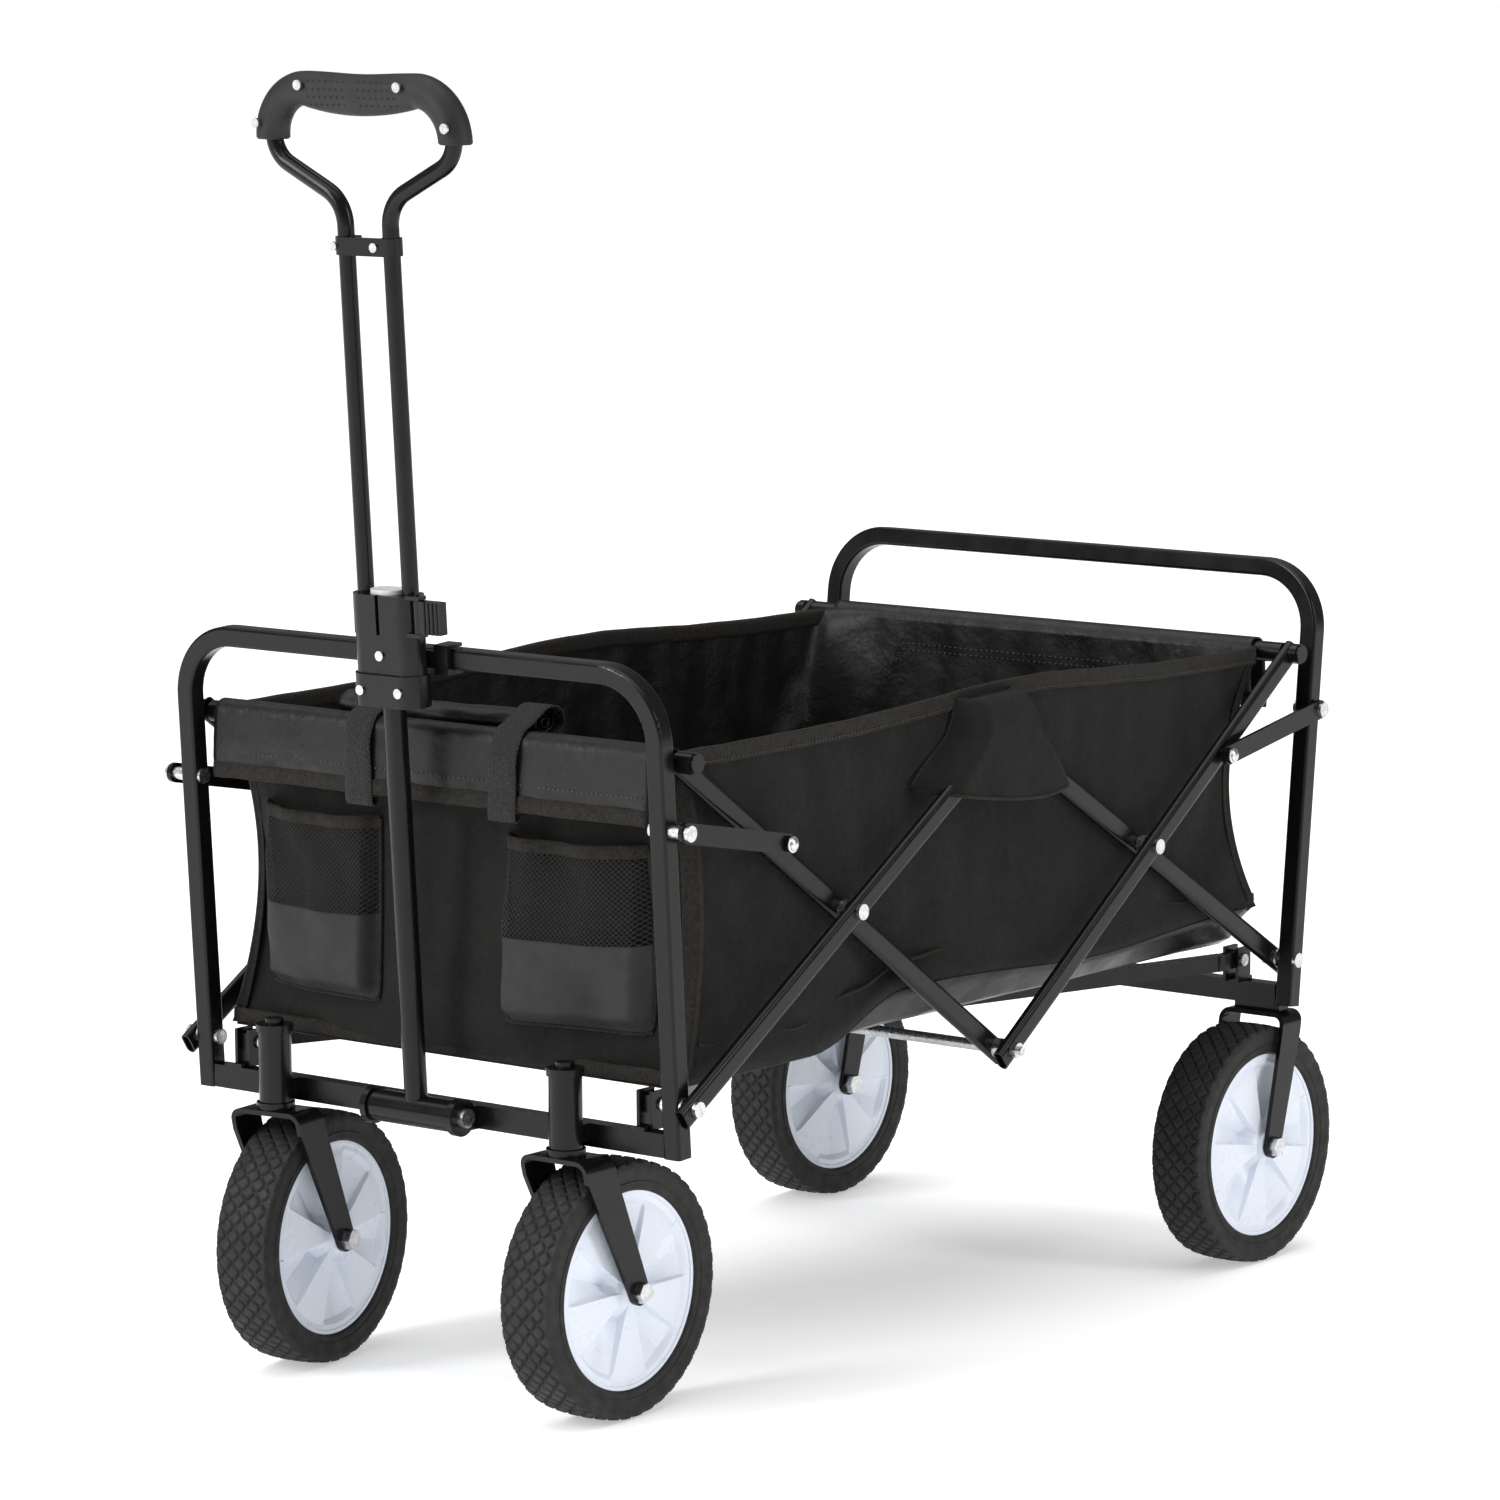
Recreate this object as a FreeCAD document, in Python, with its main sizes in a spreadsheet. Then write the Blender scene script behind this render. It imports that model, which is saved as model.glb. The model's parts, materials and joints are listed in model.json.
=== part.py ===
import FreeCAD, Part
import math
import os

from FreeCAD import Placement, Rotation, Vector

# Folding utility wagon with a telescopic pull handle.
# Frame: X across, -Y is the front (handle end), +Z up, the floor is z = 0.
# Two tubular end hoops are joined by a scissor pair on each side. The front
# wheels are casters, the rear wheels are fixed, and a fabric tub hangs between.

os.makedirs("parts", exist_ok=True)
doc = FreeCAD.newDocument("folding_wagon")

SIZES = {
    # whole frame
    "middle_y": 7.0,            # the scissors' middle, measured from the origin
    "leg_foot_y": 350.0,        # middle to the foot of each hoop
    "leg_foot_z": 191.0,
    # hoops
    "hoop_side": 14.0,
    "hoop_corner": 2.2,
    "hoop_wall": 1.3,
    "hoop_bend": 45.0,
    "front_leg_x": 211.5,
    "rear_leg_x": 223.0,
    "front_hoop_length": 330.0,
    "rear_hoop_length": 332.0,
    "front_lean": 3.2,
    "rear_lean": 6.3,
    "crossbar_height": 16.0,
    "crossbar_depth": 12.0,
    # scissor tubes
    "bar_height": 16.0,
    "bar_thick": 8.0,
    "bar_wall": 1.2,
    "inner_layer_x": 210.0,
    "outer_layer_x": 224.5,
    "low_pivot_y": 351.0,
    "low_pivot_z": 226.0,
    "mid_top_z": 441.0,
    "mid_low_z": 212.0,
    "top_pivot_y": 348.0,
    "top_pivot_z": 456.0,
    "cross_tube_r": 7.5,
    "pivot_r": 3.0,
    "running_gap": 0.06,
    "open_pivot_gap": 1.6,
    # links
    "link_leg_z": 412.0,
    "link_bar_y": 256.0,
    "link_height": 14.0,
    "link_thick": 3.0,
    "front_link_x": 231.0,
    "rear_link_x": 234.0,
    # floor bars
    "floor_bar_y": 340.0,
    "floor_bar_z": 223.5,
    "floor_bar_x": 183.0,
    "floor_bar_height": 12.0,
    "floor_bar_width": 10.0,
    "front_hub_x": 45.0,
    "rear_hub_x": 85.0,
    # wheels
    "tyre_r": 89.0,
    "tyre_width": 43.0,
    "disc_r": 69.5,
    "disc_width": 28.0,
    "hub_r": 15.0,
    "hub_width": 50.0,
    "axle_r": 4.0,
    "rear_wheel_x": 200.0,
    "rear_axle_y": 325.0,
    "fork_width": 58.0,
    "fork_thick": 3.5,
    "fork_top_z": 187.0,
    # casters
    "head_x": 132.0,
    "head_y": 371.0,
    "head_r": 11.5,
    "head_top_z": 241.0,
    "caster_trail": 42.0,
    "left_caster_turn": 7.5,
    # pull handle, along its own line from the pivot
    "handle_y": 372.0,
    "handle_z": 201.0,
    "handle_lean": 3.4,
    "sleeve_r": 11.0,
    "sleeve_half": 36.0,
    "lower_tube_r": 8.0,
    "collar_foot": 281.0,
    "collar_top": 303.0,
    "clamp_foot": 330.0,
    "clamp_top": 357.0,
    "rod_r": 5.8,
    "rod_wall": 1.2,
    "rod_x": 20.0,
    "rod_foot": 286.0,
    "grip_top": 706.0,
    "grip_half": 95.0,
    "grip_depth": 26.0,
    "strap_foot": 584.0,
    "strap_height": 12.0,
    # fabric tub
    "tub_half_width": 202.0,
    "tub_half_length": 338.0,
    "tub_floor_z": 234.0,
    "tub_rim_z": 462.0,
    "tub_wall": 3.0,
}

sheet = doc.addObject("Spreadsheet::Sheet", "dims")
for row, (alias, number) in enumerate(SIZES.items(), start=1):
    sheet.set("A%d" % row, alias)
    sheet.set("B%d" % row, str(number))
    sheet.setAlias("B%d" % row, alias)
doc.recompute()


def size(alias):
    """The number that the sheet holds under an alias."""
    return float(sheet.get(alias))


X_AXIS = Vector(1, 0, 0)
Y_AXIS = Vector(0, 1, 0)
Z_AXIS = Vector(0, 0, 1)
MIDDLE = size("middle_y")
FRONT = -1
REAR = 1
nodes = {}


def at(x, y, z):
    """A point given from the scissors' middle plane, in the part's frame."""
    return Vector(x, y + MIDDLE, z)


def node(label, obj):
    """Register a finished object as the sub-part called label."""
    obj.Label = label
    nodes[label] = obj
    return obj


def feature(label, shape, placement=None):
    """A sub-part whose shape is computed here from the sheet's sizes."""
    obj = doc.addObject("Part::Feature", label)
    obj.Shape = shape
    if placement:
        obj.Placement = placement
    return node(label, obj)


def pair(label, *right):
    """Right-hand objects and their mirror images, as one sub-part."""
    both = doc.addObject("Part::Compound", label)
    links = []
    for obj in right:
        mirror = doc.addObject("Part::Mirroring", obj.Name + "_left")
        mirror.Source = obj
        mirror.Normal = X_AXIS
        links += [obj, mirror]
    both.Links = links
    return node(label, both)


def cylinder(name, radius, height, base, axis):
    """Part cylinder whose radius and height are expressions on the sheet."""
    obj = doc.addObject("Part::Cylinder", name)
    obj.setExpression("Radius", radius)
    obj.setExpression("Height", height)
    obj.Placement = Placement(base, Rotation(Z_AXIS, axis))
    return obj


def block(name, length, width, height, corner):
    """Part box whose three sizes are expressions on the sheet."""
    obj = doc.addObject("Part::Box", name)
    obj.setExpression("Length", length)
    obj.setExpression("Width", width)
    obj.setExpression("Height", height)
    obj.Placement = Placement(corner, Rotation())
    return obj


def cut(name, base, tool):
    """Part cut of one object by another."""
    obj = doc.addObject("Part::Cut", name)
    obj.Base = base
    obj.Tool = tool
    return obj


def fuse(name, objects):
    """Part fusion of several objects into one solid."""
    obj = doc.addObject("Part::MultiFuse", name)
    obj.Shapes = objects
    obj.Refine = True
    return obj


def origin_plane(body, role):
    """The body's own origin plane with the given role."""
    for item in body.Origin.OriginFeatures:
        if item.Role == role:
            return item
    raise ValueError(role)


def body_sketch(body, name, role):
    """Empty sketch on one of the body's origin planes."""
    sketch = body.newObject("Sketcher::SketchObject", name)
    sketch.AttachmentSupport = [(origin_plane(body, role), "")]
    sketch.MapMode = "FlatFace"
    return sketch


def add_outline(sketch, points):
    """Closed outline of straight lines through the points."""
    corners = [Vector(u, v, 0) for u, v in points]
    for start, end in zip(corners, corners[1:] + corners[:1]):
        sketch.addGeometry(Part.LineSegment(start, end), False)


def add_slot(sketch, length, height):
    """Upright slot outline centred on the sketch's origin."""
    radius = length / 2
    rise = height / 2 - radius
    sketch.addGeometry(Part.LineSegment(Vector(radius, -rise, 0), Vector(radius, rise, 0)), False)
    sketch.addGeometry(Part.LineSegment(Vector(-radius, rise, 0), Vector(-radius, -rise, 0)), False)
    for centre, first in ((rise, 0), (-rise, math.pi)):
        circle = Part.Circle(Vector(0, centre, 0), Z_AXIS, radius)
        sketch.addGeometry(Part.ArcOfCircle(circle, first, first + math.pi), False)


def turned(name, profile, base):
    """Body turned about X: profile is (x, radius) along the outline's outside."""
    body = doc.addObject("PartDesign::Body", name)
    sketch = body_sketch(body, name + "_profile", "XY_Plane")
    ends = [(profile[0][0], 0.0)] + list(profile) + [(profile[-1][0], 0.0)]
    add_outline(sketch, ends)
    turn = body.newObject("PartDesign::Revolution", name + "_turn")
    turn.Profile = sketch
    turn.ReferenceAxis = (sketch, ["H_Axis"])
    turn.Angle = 360.0
    body.Placement = Placement(base, Rotation())
    return body


def bolt(name, base, steps):
    """Turned bolt: each step is (x from, x to, radius), from inside to outside."""
    profile = []
    for start, end, radius in steps:
        profile += [(start, radius), (end, radius)]
    return turned(name, profile, base)


# ---------------------------------------------------------------- end hoops

def rounded_square(side, corner):
    """Square wire with rounded corners in the XY plane, centred on the origin."""
    flat = side / 2 - corner
    edges = []
    for quarter in range(4):
        turn = Rotation(Z_AXIS, 90 * quarter)
        edge = Part.LineSegment(Vector(side / 2, -flat, 0), Vector(side / 2, flat, 0)).toShape()
        arc_circle = Part.Circle(Vector(flat, flat, 0), Z_AXIS, corner)
        arc = Part.ArcOfCircle(arc_circle, 0, math.pi / 2).toShape()
        for item in (edge, arc):
            item.Placement = Placement(Vector(0, 0, 0), turn)
            edges.append(item)
    return Part.Wire(edges)


def hoop_shape(leg_x, length):
    """Inverted U of square tube standing on the XY plane, open at both feet."""
    side = size("hoop_side")
    bend = size("hoop_bend")
    top = length - side / 2
    shoulder = math.sqrt(0.5) * bend
    knee = top - bend
    mid_x = leg_x - bend + shoulder
    mid_z = knee + shoulder
    span = leg_x - bend
    edges = [
        Part.LineSegment(Vector(-leg_x, 0, 0), Vector(-leg_x, 0, knee)).toShape(),
        Part.Arc(Vector(-leg_x, 0, knee), Vector(-mid_x, 0, mid_z), Vector(-span, 0, top)).toShape(),
        Part.LineSegment(Vector(-span, 0, top), Vector(span, 0, top)).toShape(),
        Part.Arc(Vector(span, 0, top), Vector(mid_x, 0, mid_z), Vector(leg_x, 0, knee)).toShape(),
        Part.LineSegment(Vector(leg_x, 0, knee), Vector(leg_x, 0, 0)).toShape(),
    ]
    path = Part.Wire(edges)
    wall = size("hoop_wall")
    solids = []
    for across, corner in ((side, size("hoop_corner")), (side - 2 * wall, size("hoop_corner") - wall)):
        profile = rounded_square(across, corner)
        profile.Placement = Placement(Vector(-leg_x, 0, 0), Rotation())
        solids.append(path.makePipeShell([profile], True, False))
    return solids[0].cut(solids[1])


def hoop_placement(end):
    """Place a standing hoop at its foot and lean it away from the middle."""
    lean = size("front_lean") if end == FRONT else size("rear_lean")
    return Placement(at(0, end * size("leg_foot_y"), size("leg_foot_z")), Rotation(X_AXIS, -end * lean))


def leg_y(end, z):
    """Y of a hoop leg's centre line at height z, from the scissors' middle."""
    lean = size("front_lean") if end == FRONT else size("rear_lean")
    return end * (size("leg_foot_y") + (z - size("leg_foot_z")) * math.tan(math.radians(lean)))


def drill(shape, points, radius, reach):
    """Cut holes along X through both sides of a shape at the (y, z) points."""
    for y, z in points:
        tool = Part.makeCylinder(radius, 2 * reach, at(-reach, y, z), X_AXIS)
        shape = shape.cut(tool)
    return shape


HOOP_REACH = 260.0
crossbars = {}
low_pivot = (size("low_pivot_y"), size("low_pivot_z"))
for end, name in ((FRONT, "front"), (REAR, "rear")):
    leg_x = size(name + "_leg_x")
    standing = hoop_shape(leg_x, size(name + "_hoop_length"))
    standing.Placement = hoop_placement(end)
    link_point = (leg_y(end, size("link_leg_z")), size("link_leg_z"))
    holes = [(end * low_pivot[0], low_pivot[1]), link_point]
    feature(name + "_hoop", drill(standing, holes, size("pivot_r"), HOOP_REACH))
    inside = "2 * (dims.%s_leg_x - dims.hoop_side / 2)" % name
    corner = at(
        -(leg_x - size("hoop_side") / 2),
        end * size("leg_foot_y") - size("crossbar_depth") / 2,
        size("leg_foot_z"),
    )
    crossbars[name] = block(name + "_bar", inside, "dims.crossbar_depth", "dims.crossbar_height", corner)
node("rear_crossbar", crossbars["rear"])


# ------------------------------------------------------------ scissor tubes

def flat_tube(name, x, start, end, holes, run_on):
    """Flat-oval tube body from start to end, (y, z) points, drilled at holes.

    holes are (distance along the tube, radius); run_on is the length past
    each end point.
    """
    length = math.dist(start, end)
    body = doc.addObject("PartDesign::Body", name)
    section = body_sketch(body, name + "_section", "XY_Plane")
    add_slot(section, size("bar_thick"), size("bar_height"))
    inside = 2 * size("bar_wall")
    add_slot(section, size("bar_thick") - inside, size("bar_height") - inside)
    pad = body.newObject("PartDesign::Pad", name + "_pad")
    pad.Profile = section
    pad.Length = length + run_on[0] + run_on[1]
    along = Vector(0, end[0] - start[0], end[1] - start[1]).normalize()
    foot = at(x, start[0], start[1]) - along * run_on[0]
    body.Placement = Placement(foot, Rotation(X_AXIS, along.cross(X_AXIS).negative(), along, "ZXY"))
    tools = []
    for distance, radius in holes:
        centre = foot + along * (run_on[0] + distance) - X_AXIS * size("bar_thick")
        tool = doc.addObject("Part::Cylinder", "%s_hole_%d" % (name, len(tools)))
        tool.Radius = radius
        tool.setExpression("Height", "2 * dims.bar_thick")
        tool.Placement = Placement(centre, Rotation(Z_AXIS, X_AXIS))
        tools.append(tool)
    drill_set = doc.addObject("Part::Compound", name + "_holes")
    drill_set.Links = tools
    return cut(name + "_drilled", body, drill_set)


pin = size("pivot_r")
running = pin + size("running_gap")
loose = pin + size("open_pivot_gap")
mid_top = (0.0, size("mid_top_z"))
mid_low = (0.0, size("mid_low_z"))
top_pivot = (size("top_pivot_y"), size("top_pivot_z"))
rising_slope = (mid_top[1] - low_pivot[1]) / low_pivot[0]
falling_slope = (top_pivot[1] - mid_low[1]) / top_pivot[0]
crossing_y = (mid_top[1] - mid_low[1]) / (rising_slope + falling_slope)
crossing = (crossing_y, mid_low[1] + falling_slope * crossing_y)
END_RUN_ON = 12.0
TOP_RUN_ON = 5.0


def mirrored_point(end, point):
    """A (y, z) point of the rear half, on the wanted end."""
    return (end * point[0], point[1])


rising_length = math.dist(low_pivot, mid_top)
rising_crossing = math.dist(low_pivot, crossing)
falling_length = math.dist(top_pivot, mid_low)
falling_crossing = math.dist(top_pivot, crossing)
LAYERS = {
    FRONT: {"rising": size("outer_layer_x"), "falling": size("inner_layer_x")},
    REAR: {"rising": size("inner_layer_x"), "falling": size("outer_layer_x")},
}
for end, name in ((FRONT, "front"), (REAR, "rear")):
    top_hole = loose if end == FRONT else pin
    low_hole = running if end == REAR else pin
    rising = flat_tube(
        name + "_rising", LAYERS[end]["rising"],
        mirrored_point(end, low_pivot), mid_top,
        [(0.0, running), (rising_crossing, running), (rising_length, top_hole)],
        (END_RUN_ON, END_RUN_ON),
    )
    pair(name + "_rising_tubes", rising)
    falling = flat_tube(
        name + "_falling", LAYERS[end]["falling"],
        mirrored_point(end, top_pivot), mid_low,
        [(falling_crossing, pin), (falling_length, low_hole)],
        (TOP_RUN_ON, END_RUN_ON),
    )
    pair(name + "_falling_tubes", falling)

# The cross tubes join the falling tubes' top ends, and end in plastic caps.
CAP_RIM = 1.0
CAP_END_X = 230.0
for end, name in ((FRONT, "front"), (REAR, "rear")):
    inner_face = LAYERS[end]["falling"] - size("bar_thick") / 2
    outer_face = LAYERS[end]["falling"] + size("bar_thick") / 2
    centre = at(-inner_face, end * size("top_pivot_y"), size("top_pivot_z"))
    layer = "dims.inner_layer_x" if end == FRONT else "dims.outer_layer_x"
    tube_length = "2 * (%s - dims.bar_thick / 2)" % layer
    outside = cylinder(name + "_cross_outside", "dims.cross_tube_r", tube_length, centre, X_AXIS)
    bore = cylinder(name + "_cross_bore", "dims.cross_tube_r - dims.bar_wall", tube_length, centre, X_AXIS)
    hollow = cut(name + "_cross_hollow", outside, bore)
    cap_end = max(CAP_END_X, outer_face + 8.0)
    cap_steps = [
        (outer_face, cap_end - 2.0, size("cross_tube_r")),
        (cap_end - 2.0, cap_end, size("cross_tube_r") - CAP_RIM),
    ]
    cap = bolt(name + "_cap", at(0, end * size("top_pivot_y"), size("top_pivot_z")), cap_steps)
    left_cap = doc.addObject("Part::Mirroring", name + "_cap_left")
    left_cap.Source = cap
    left_cap.Normal = X_AXIS
    capped = doc.addObject("Part::Compound", name + "_cross_tube")
    capped.Links = [hollow, cap, left_cap]
    node(name + "_cross_tube", capped)


# ------------------------------------------------------------- pivot bolts

HEAD_R = 5.5
HEAD_THICK = 3.0
WASHER_R = 7.0
inner_low = size("inner_layer_x") - size("bar_thick") / 2
inner_high = size("inner_layer_x") + size("bar_thick") / 2
outer_low = size("outer_layer_x") - size("bar_thick") / 2
outer_high = size("outer_layer_x") + size("bar_thick") / 2
SIDE_GAP = 0.3


def leg_faces(name):
    """Inner and outer X of a hoop's right leg."""
    half = size("hoop_side") / 2
    return size(name + "_leg_x") - half, size(name + "_leg_x") + half


front_inner, front_outer = leg_faces("front")
rear_inner, rear_outer = leg_faces("rear")
front_low_bolt = bolt("front_low_bolt", at(0, -low_pivot[0], low_pivot[1]), [
    (front_inner - HEAD_THICK, front_inner, HEAD_R),
    (front_inner, front_outer, pin),
    (front_outer, outer_low - SIDE_GAP, WASHER_R),
    (outer_low - SIDE_GAP, outer_high + SIDE_GAP, pin),
    (outer_high + SIDE_GAP, outer_high + SIDE_GAP + HEAD_THICK, HEAD_R),
])
leg_fasteners = {"front": [front_low_bolt], "rear": []}
rear_low_bolt = bolt("rear_low_bolt", at(0, low_pivot[0], low_pivot[1]), [
    (inner_low - SIDE_GAP - HEAD_THICK, inner_low - SIDE_GAP, HEAD_R),
    (inner_low - SIDE_GAP, inner_high + SIDE_GAP, pin),
    (inner_high + SIDE_GAP, rear_inner, WASHER_R),
    (rear_inner, rear_outer, pin),
    (rear_outer, rear_outer + HEAD_THICK, HEAD_R),
])
leg_fasteners["rear"].append(rear_low_bolt)

# The crossing bolts sit in the falling tubes and turn in the rising ones.
front_crossing_bolt = bolt("front_crossing_bolt", at(0, -crossing[0], crossing[1]), [
    (inner_low - 1.5, inner_low, HEAD_R),
    (inner_low, inner_high, pin),
    (inner_high, outer_low - SIDE_GAP, WASHER_R),
    (outer_low - SIDE_GAP, outer_high + SIDE_GAP, pin),
    (outer_high + SIDE_GAP, outer_high + SIDE_GAP + HEAD_THICK, HEAD_R),
])
pair("front_crossing_bolts", front_crossing_bolt)
rear_crossing_bolt = bolt("rear_crossing_bolt", at(0, crossing[0], crossing[1]), [
    (inner_low - SIDE_GAP - 1.5, inner_low - SIDE_GAP, HEAD_R),
    (inner_low - SIDE_GAP, inner_high + SIDE_GAP, pin),
    (inner_high + SIDE_GAP, outer_low, WASHER_R),
    (outer_low, outer_high, pin),
    (outer_high, outer_high + HEAD_THICK, HEAD_R),
])
pair("rear_crossing_bolts", rear_crossing_bolt)

# The middle bolts: the top one sits in the rear tubes, the low one in the front.
mid_top_bolt = bolt("mid_top_bolt", at(0, 0, mid_top[1]), [
    (inner_low - 1.5, inner_low, HEAD_R),
    (inner_low, inner_high, pin),
    (inner_high, inner_high + 1.6, WASHER_R),
    (inner_high + 1.6, outer_high + 1.0, pin),
    (outer_high + 1.0, outer_high + 1.0 + HEAD_THICK, WASHER_R),
])
pair("mid_top_bolts", mid_top_bolt)
NUT_R = 5.5
mid_low_bolt = bolt("mid_low_bolt", at(0, 0, mid_low[1]), [
    (0.0, inner_low, pin + 1.0),
    (inner_low, inner_high, pin),
    (inner_high, outer_low - SIDE_GAP, WASHER_R),
    (outer_low - SIDE_GAP, outer_high + SIDE_GAP, pin),
    (outer_high + SIDE_GAP, outer_high + SIDE_GAP + 5.0, NUT_R),
    (outer_high + SIDE_GAP + 5.0, outer_high + SIDE_GAP + 8.0, pin),
])
left_rod = doc.addObject("Part::Mirroring", "mid_low_left")
left_rod.Source = mid_low_bolt
left_rod.Normal = X_AXIS
node("mid_low_rod", fuse("mid_low_rod", [mid_low_bolt, left_rod]))


# ------------------------------------------------------------------- links

def link_ends(end):
    """The (y, z) points of a link on its leg and on its falling tube."""
    on_leg = (leg_y(end, size("link_leg_z")), size("link_leg_z"))
    slope = (top_pivot[1] - crossing[1]) / (top_pivot[0] - crossing[0])
    rise = (size("link_bar_y") - crossing[0]) * slope
    return on_leg, (end * size("link_bar_y"), crossing[1] + rise)


for end, name in ((FRONT, "front"), (REAR, "rear")):
    leg_end, bar_end = link_ends(end)
    reach = math.dist(leg_end, bar_end)
    link = doc.addObject("PartDesign::Body", name + "_link")
    outline = body_sketch(link, name + "_link_outline", "XY_Plane")
    half = size("link_height") / 2
    for v in (half, -half):
        outline.addGeometry(Part.LineSegment(Vector(0, v, 0), Vector(reach, v, 0)), False)
    for u, first in ((0.0, math.pi / 2), (reach, -math.pi / 2)):
        circle = Part.Circle(Vector(u, 0, 0), Z_AXIS, half)
        outline.addGeometry(Part.ArcOfCircle(circle, first, first + math.pi), False)
    hole = Part.Circle(Vector(0, 0, 0), Z_AXIS, running)
    outline.addGeometry(hole, False)
    tip_hole = Part.Circle(Vector(reach, 0, 0), Z_AXIS, pin)
    outline.addGeometry(tip_hole, False)
    plate = link.newObject("PartDesign::Pad", name + "_link_plate")
    plate.Profile = outline
    plate.setExpression("Length", "dims.link_thick")
    along = Vector(0, bar_end[0] - leg_end[0], bar_end[1] - leg_end[1]).normalize()
    low_face = size(name + "_link_x") - size("link_thick") / 2
    foot = at(low_face, leg_end[0], leg_end[1])
    link.Placement = Placement(foot, Rotation(along, X_AXIS.cross(along), X_AXIS, "ZXY"))
    leg_face = leg_faces(name)[1]
    high_face = low_face + size("link_thick")
    leg_bolt = bolt(name + "_link_leg_bolt", at(0, leg_end[0], leg_end[1]), [
        (leg_face - size("hoop_side") - 2.0, leg_face - size("hoop_side"), HEAD_R),
        (leg_face - size("hoop_side"), leg_face, pin),
        (leg_face, low_face - SIDE_GAP, pin + 1.5),
        (low_face - SIDE_GAP, high_face + SIDE_GAP, pin),
        (high_face + SIDE_GAP, high_face + SIDE_GAP + HEAD_THICK, HEAD_R),
    ])
    leg_fasteners[name].append(leg_bolt)
    # The tip bolt stops short of the tube: this is an open pivot.
    tube_face = LAYERS[end]["falling"] + size("bar_thick") / 2
    tip_bolt = bolt(name + "_link_tip_bolt", at(0, bar_end[0], bar_end[1]), [
        (tube_face + SIDE_GAP, low_face, pin + 1.5),
        (low_face, high_face, pin),
        (high_face, high_face + HEAD_THICK, HEAD_R),
    ])
    pair(name + "_links", fuse(name + "_riveted_link", [link, tip_bolt]))


# -------------------------------------------------------- floor bars, brackets

BRACKET_GAP = 9.0
BRACKET_PLATE = 2.5
BRACKET_DEPTH = 12.0
BRACKET_TALL = 26.0
TONGUE = 7.0
TONGUE_LENGTH = 26.0
bar_z = size("floor_bar_z")
crossbar_top = size("leg_foot_z") + size("crossbar_height")
for end, name in ((FRONT, "front"), (REAR, "rear")):
    hub_x = size(name + "_hub_x")
    pin_point = at(size("floor_bar_x"), end * size("floor_bar_y"), bar_z)
    walls = []
    for side in (-1, 1):
        wall_x = size("floor_bar_x") + side * (BRACKET_GAP + BRACKET_PLATE) / 2
        wall_low_x = wall_x - BRACKET_PLATE / 2
        near_y = end * size("leg_foot_y") - end * size("crossbar_depth") / 2
        far_y = end * (size("floor_bar_y") - BRACKET_DEPTH / 2)
        y_low = min(near_y, far_y) if end == REAR else near_y - size("crossbar_depth") / 2
        y_high = max(near_y, far_y) if end == FRONT else near_y + size("crossbar_depth") / 2
        wall = Part.makeBox(BRACKET_PLATE, y_high - y_low, BRACKET_TALL, at(wall_low_x, y_low, crossbar_top))
        walls.append(wall)
    base_y = end * size("leg_foot_y") - size("crossbar_depth") / 2
    base_low = at(size("floor_bar_x") - BRACKET_GAP / 2, base_y, crossbar_top)
    base = Part.makeBox(BRACKET_GAP, size("crossbar_depth"), BRACKET_PLATE, base_low)
    bracket = walls[0].fuse([walls[1], base]).removeSplitter()
    hole_base = pin_point - X_AXIS * 20
    bracket = bracket.cut(Part.makeCylinder(2.5, 40, hole_base, X_AXIS))
    both = Part.makeCompound([bracket, bracket.mirror(Vector(0, 0, 0), X_AXIS)])
    feature(name + "_floor_brackets", both)
    pin_half = BRACKET_GAP / 2 + BRACKET_PLATE
    bar_pin = bolt(name + "_bar_pin", pin_point - X_AXIS * size("floor_bar_x"), [
        (size("floor_bar_x") - pin_half - 2.0, size("floor_bar_x") - pin_half, 4.5),
        (size("floor_bar_x") - pin_half, size("floor_bar_x") + pin_half, 2.5),
        (size("floor_bar_x") + pin_half, size("floor_bar_x") + pin_half + 2.0, 4.5),
    ])
    pair(name + "_frame_bolts", bar_pin, *leg_fasteners[name])
    # A floor bar: a tongue in the bracket, then a straight bar to the hub end.
    half_height = size("floor_bar_height") / 2
    tongue_y = end * size("floor_bar_y")
    tongue_reach = -end * TONGUE_LENGTH
    tongue_low = min(tongue_y + end * 6.0, tongue_y + tongue_reach)
    tongue = Part.makeBox(
        TONGUE, TONGUE_LENGTH + 6.0, size("floor_bar_height"),
        at(size("floor_bar_x") - TONGUE / 2, tongue_low, bar_z - half_height),
    )
    start = at(size("floor_bar_x"), tongue_y + tongue_reach * 0.7, bar_z)
    stop = at(hub_x, 0, bar_z)
    run = stop - start
    bar = Part.makeBox(
        run.Length, size("floor_bar_width"), size("floor_bar_height"),
        Vector(0, -size("floor_bar_width") / 2, -half_height),
    )
    bar.Placement = Placement(start, Rotation(X_AXIS, run))
    arm = tongue.fuse(bar).removeSplitter()
    arm = arm.cut(Part.makeCylinder(2.5 + size("running_gap"), 40, hole_base, X_AXIS))
    arms = Part.makeCompound([arm, arm.mirror(Vector(0, 0, 0), X_AXIS)])
    feature(name + "_floor_bars", arms)

# The hub plate ties the front floor bars together under the tub.
hub_half = size("front_hub_x") + 8.0
hub_corner = at(-hub_half, -30.0, bar_z + size("floor_bar_height") / 2)
hub_plate = block("floor_hub_plate", "2 * (dims.front_hub_x + 8)", "34", "3", hub_corner)
node("floor_hub_plate", hub_plate)


# ------------------------------------------------------------------ wheels

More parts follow.
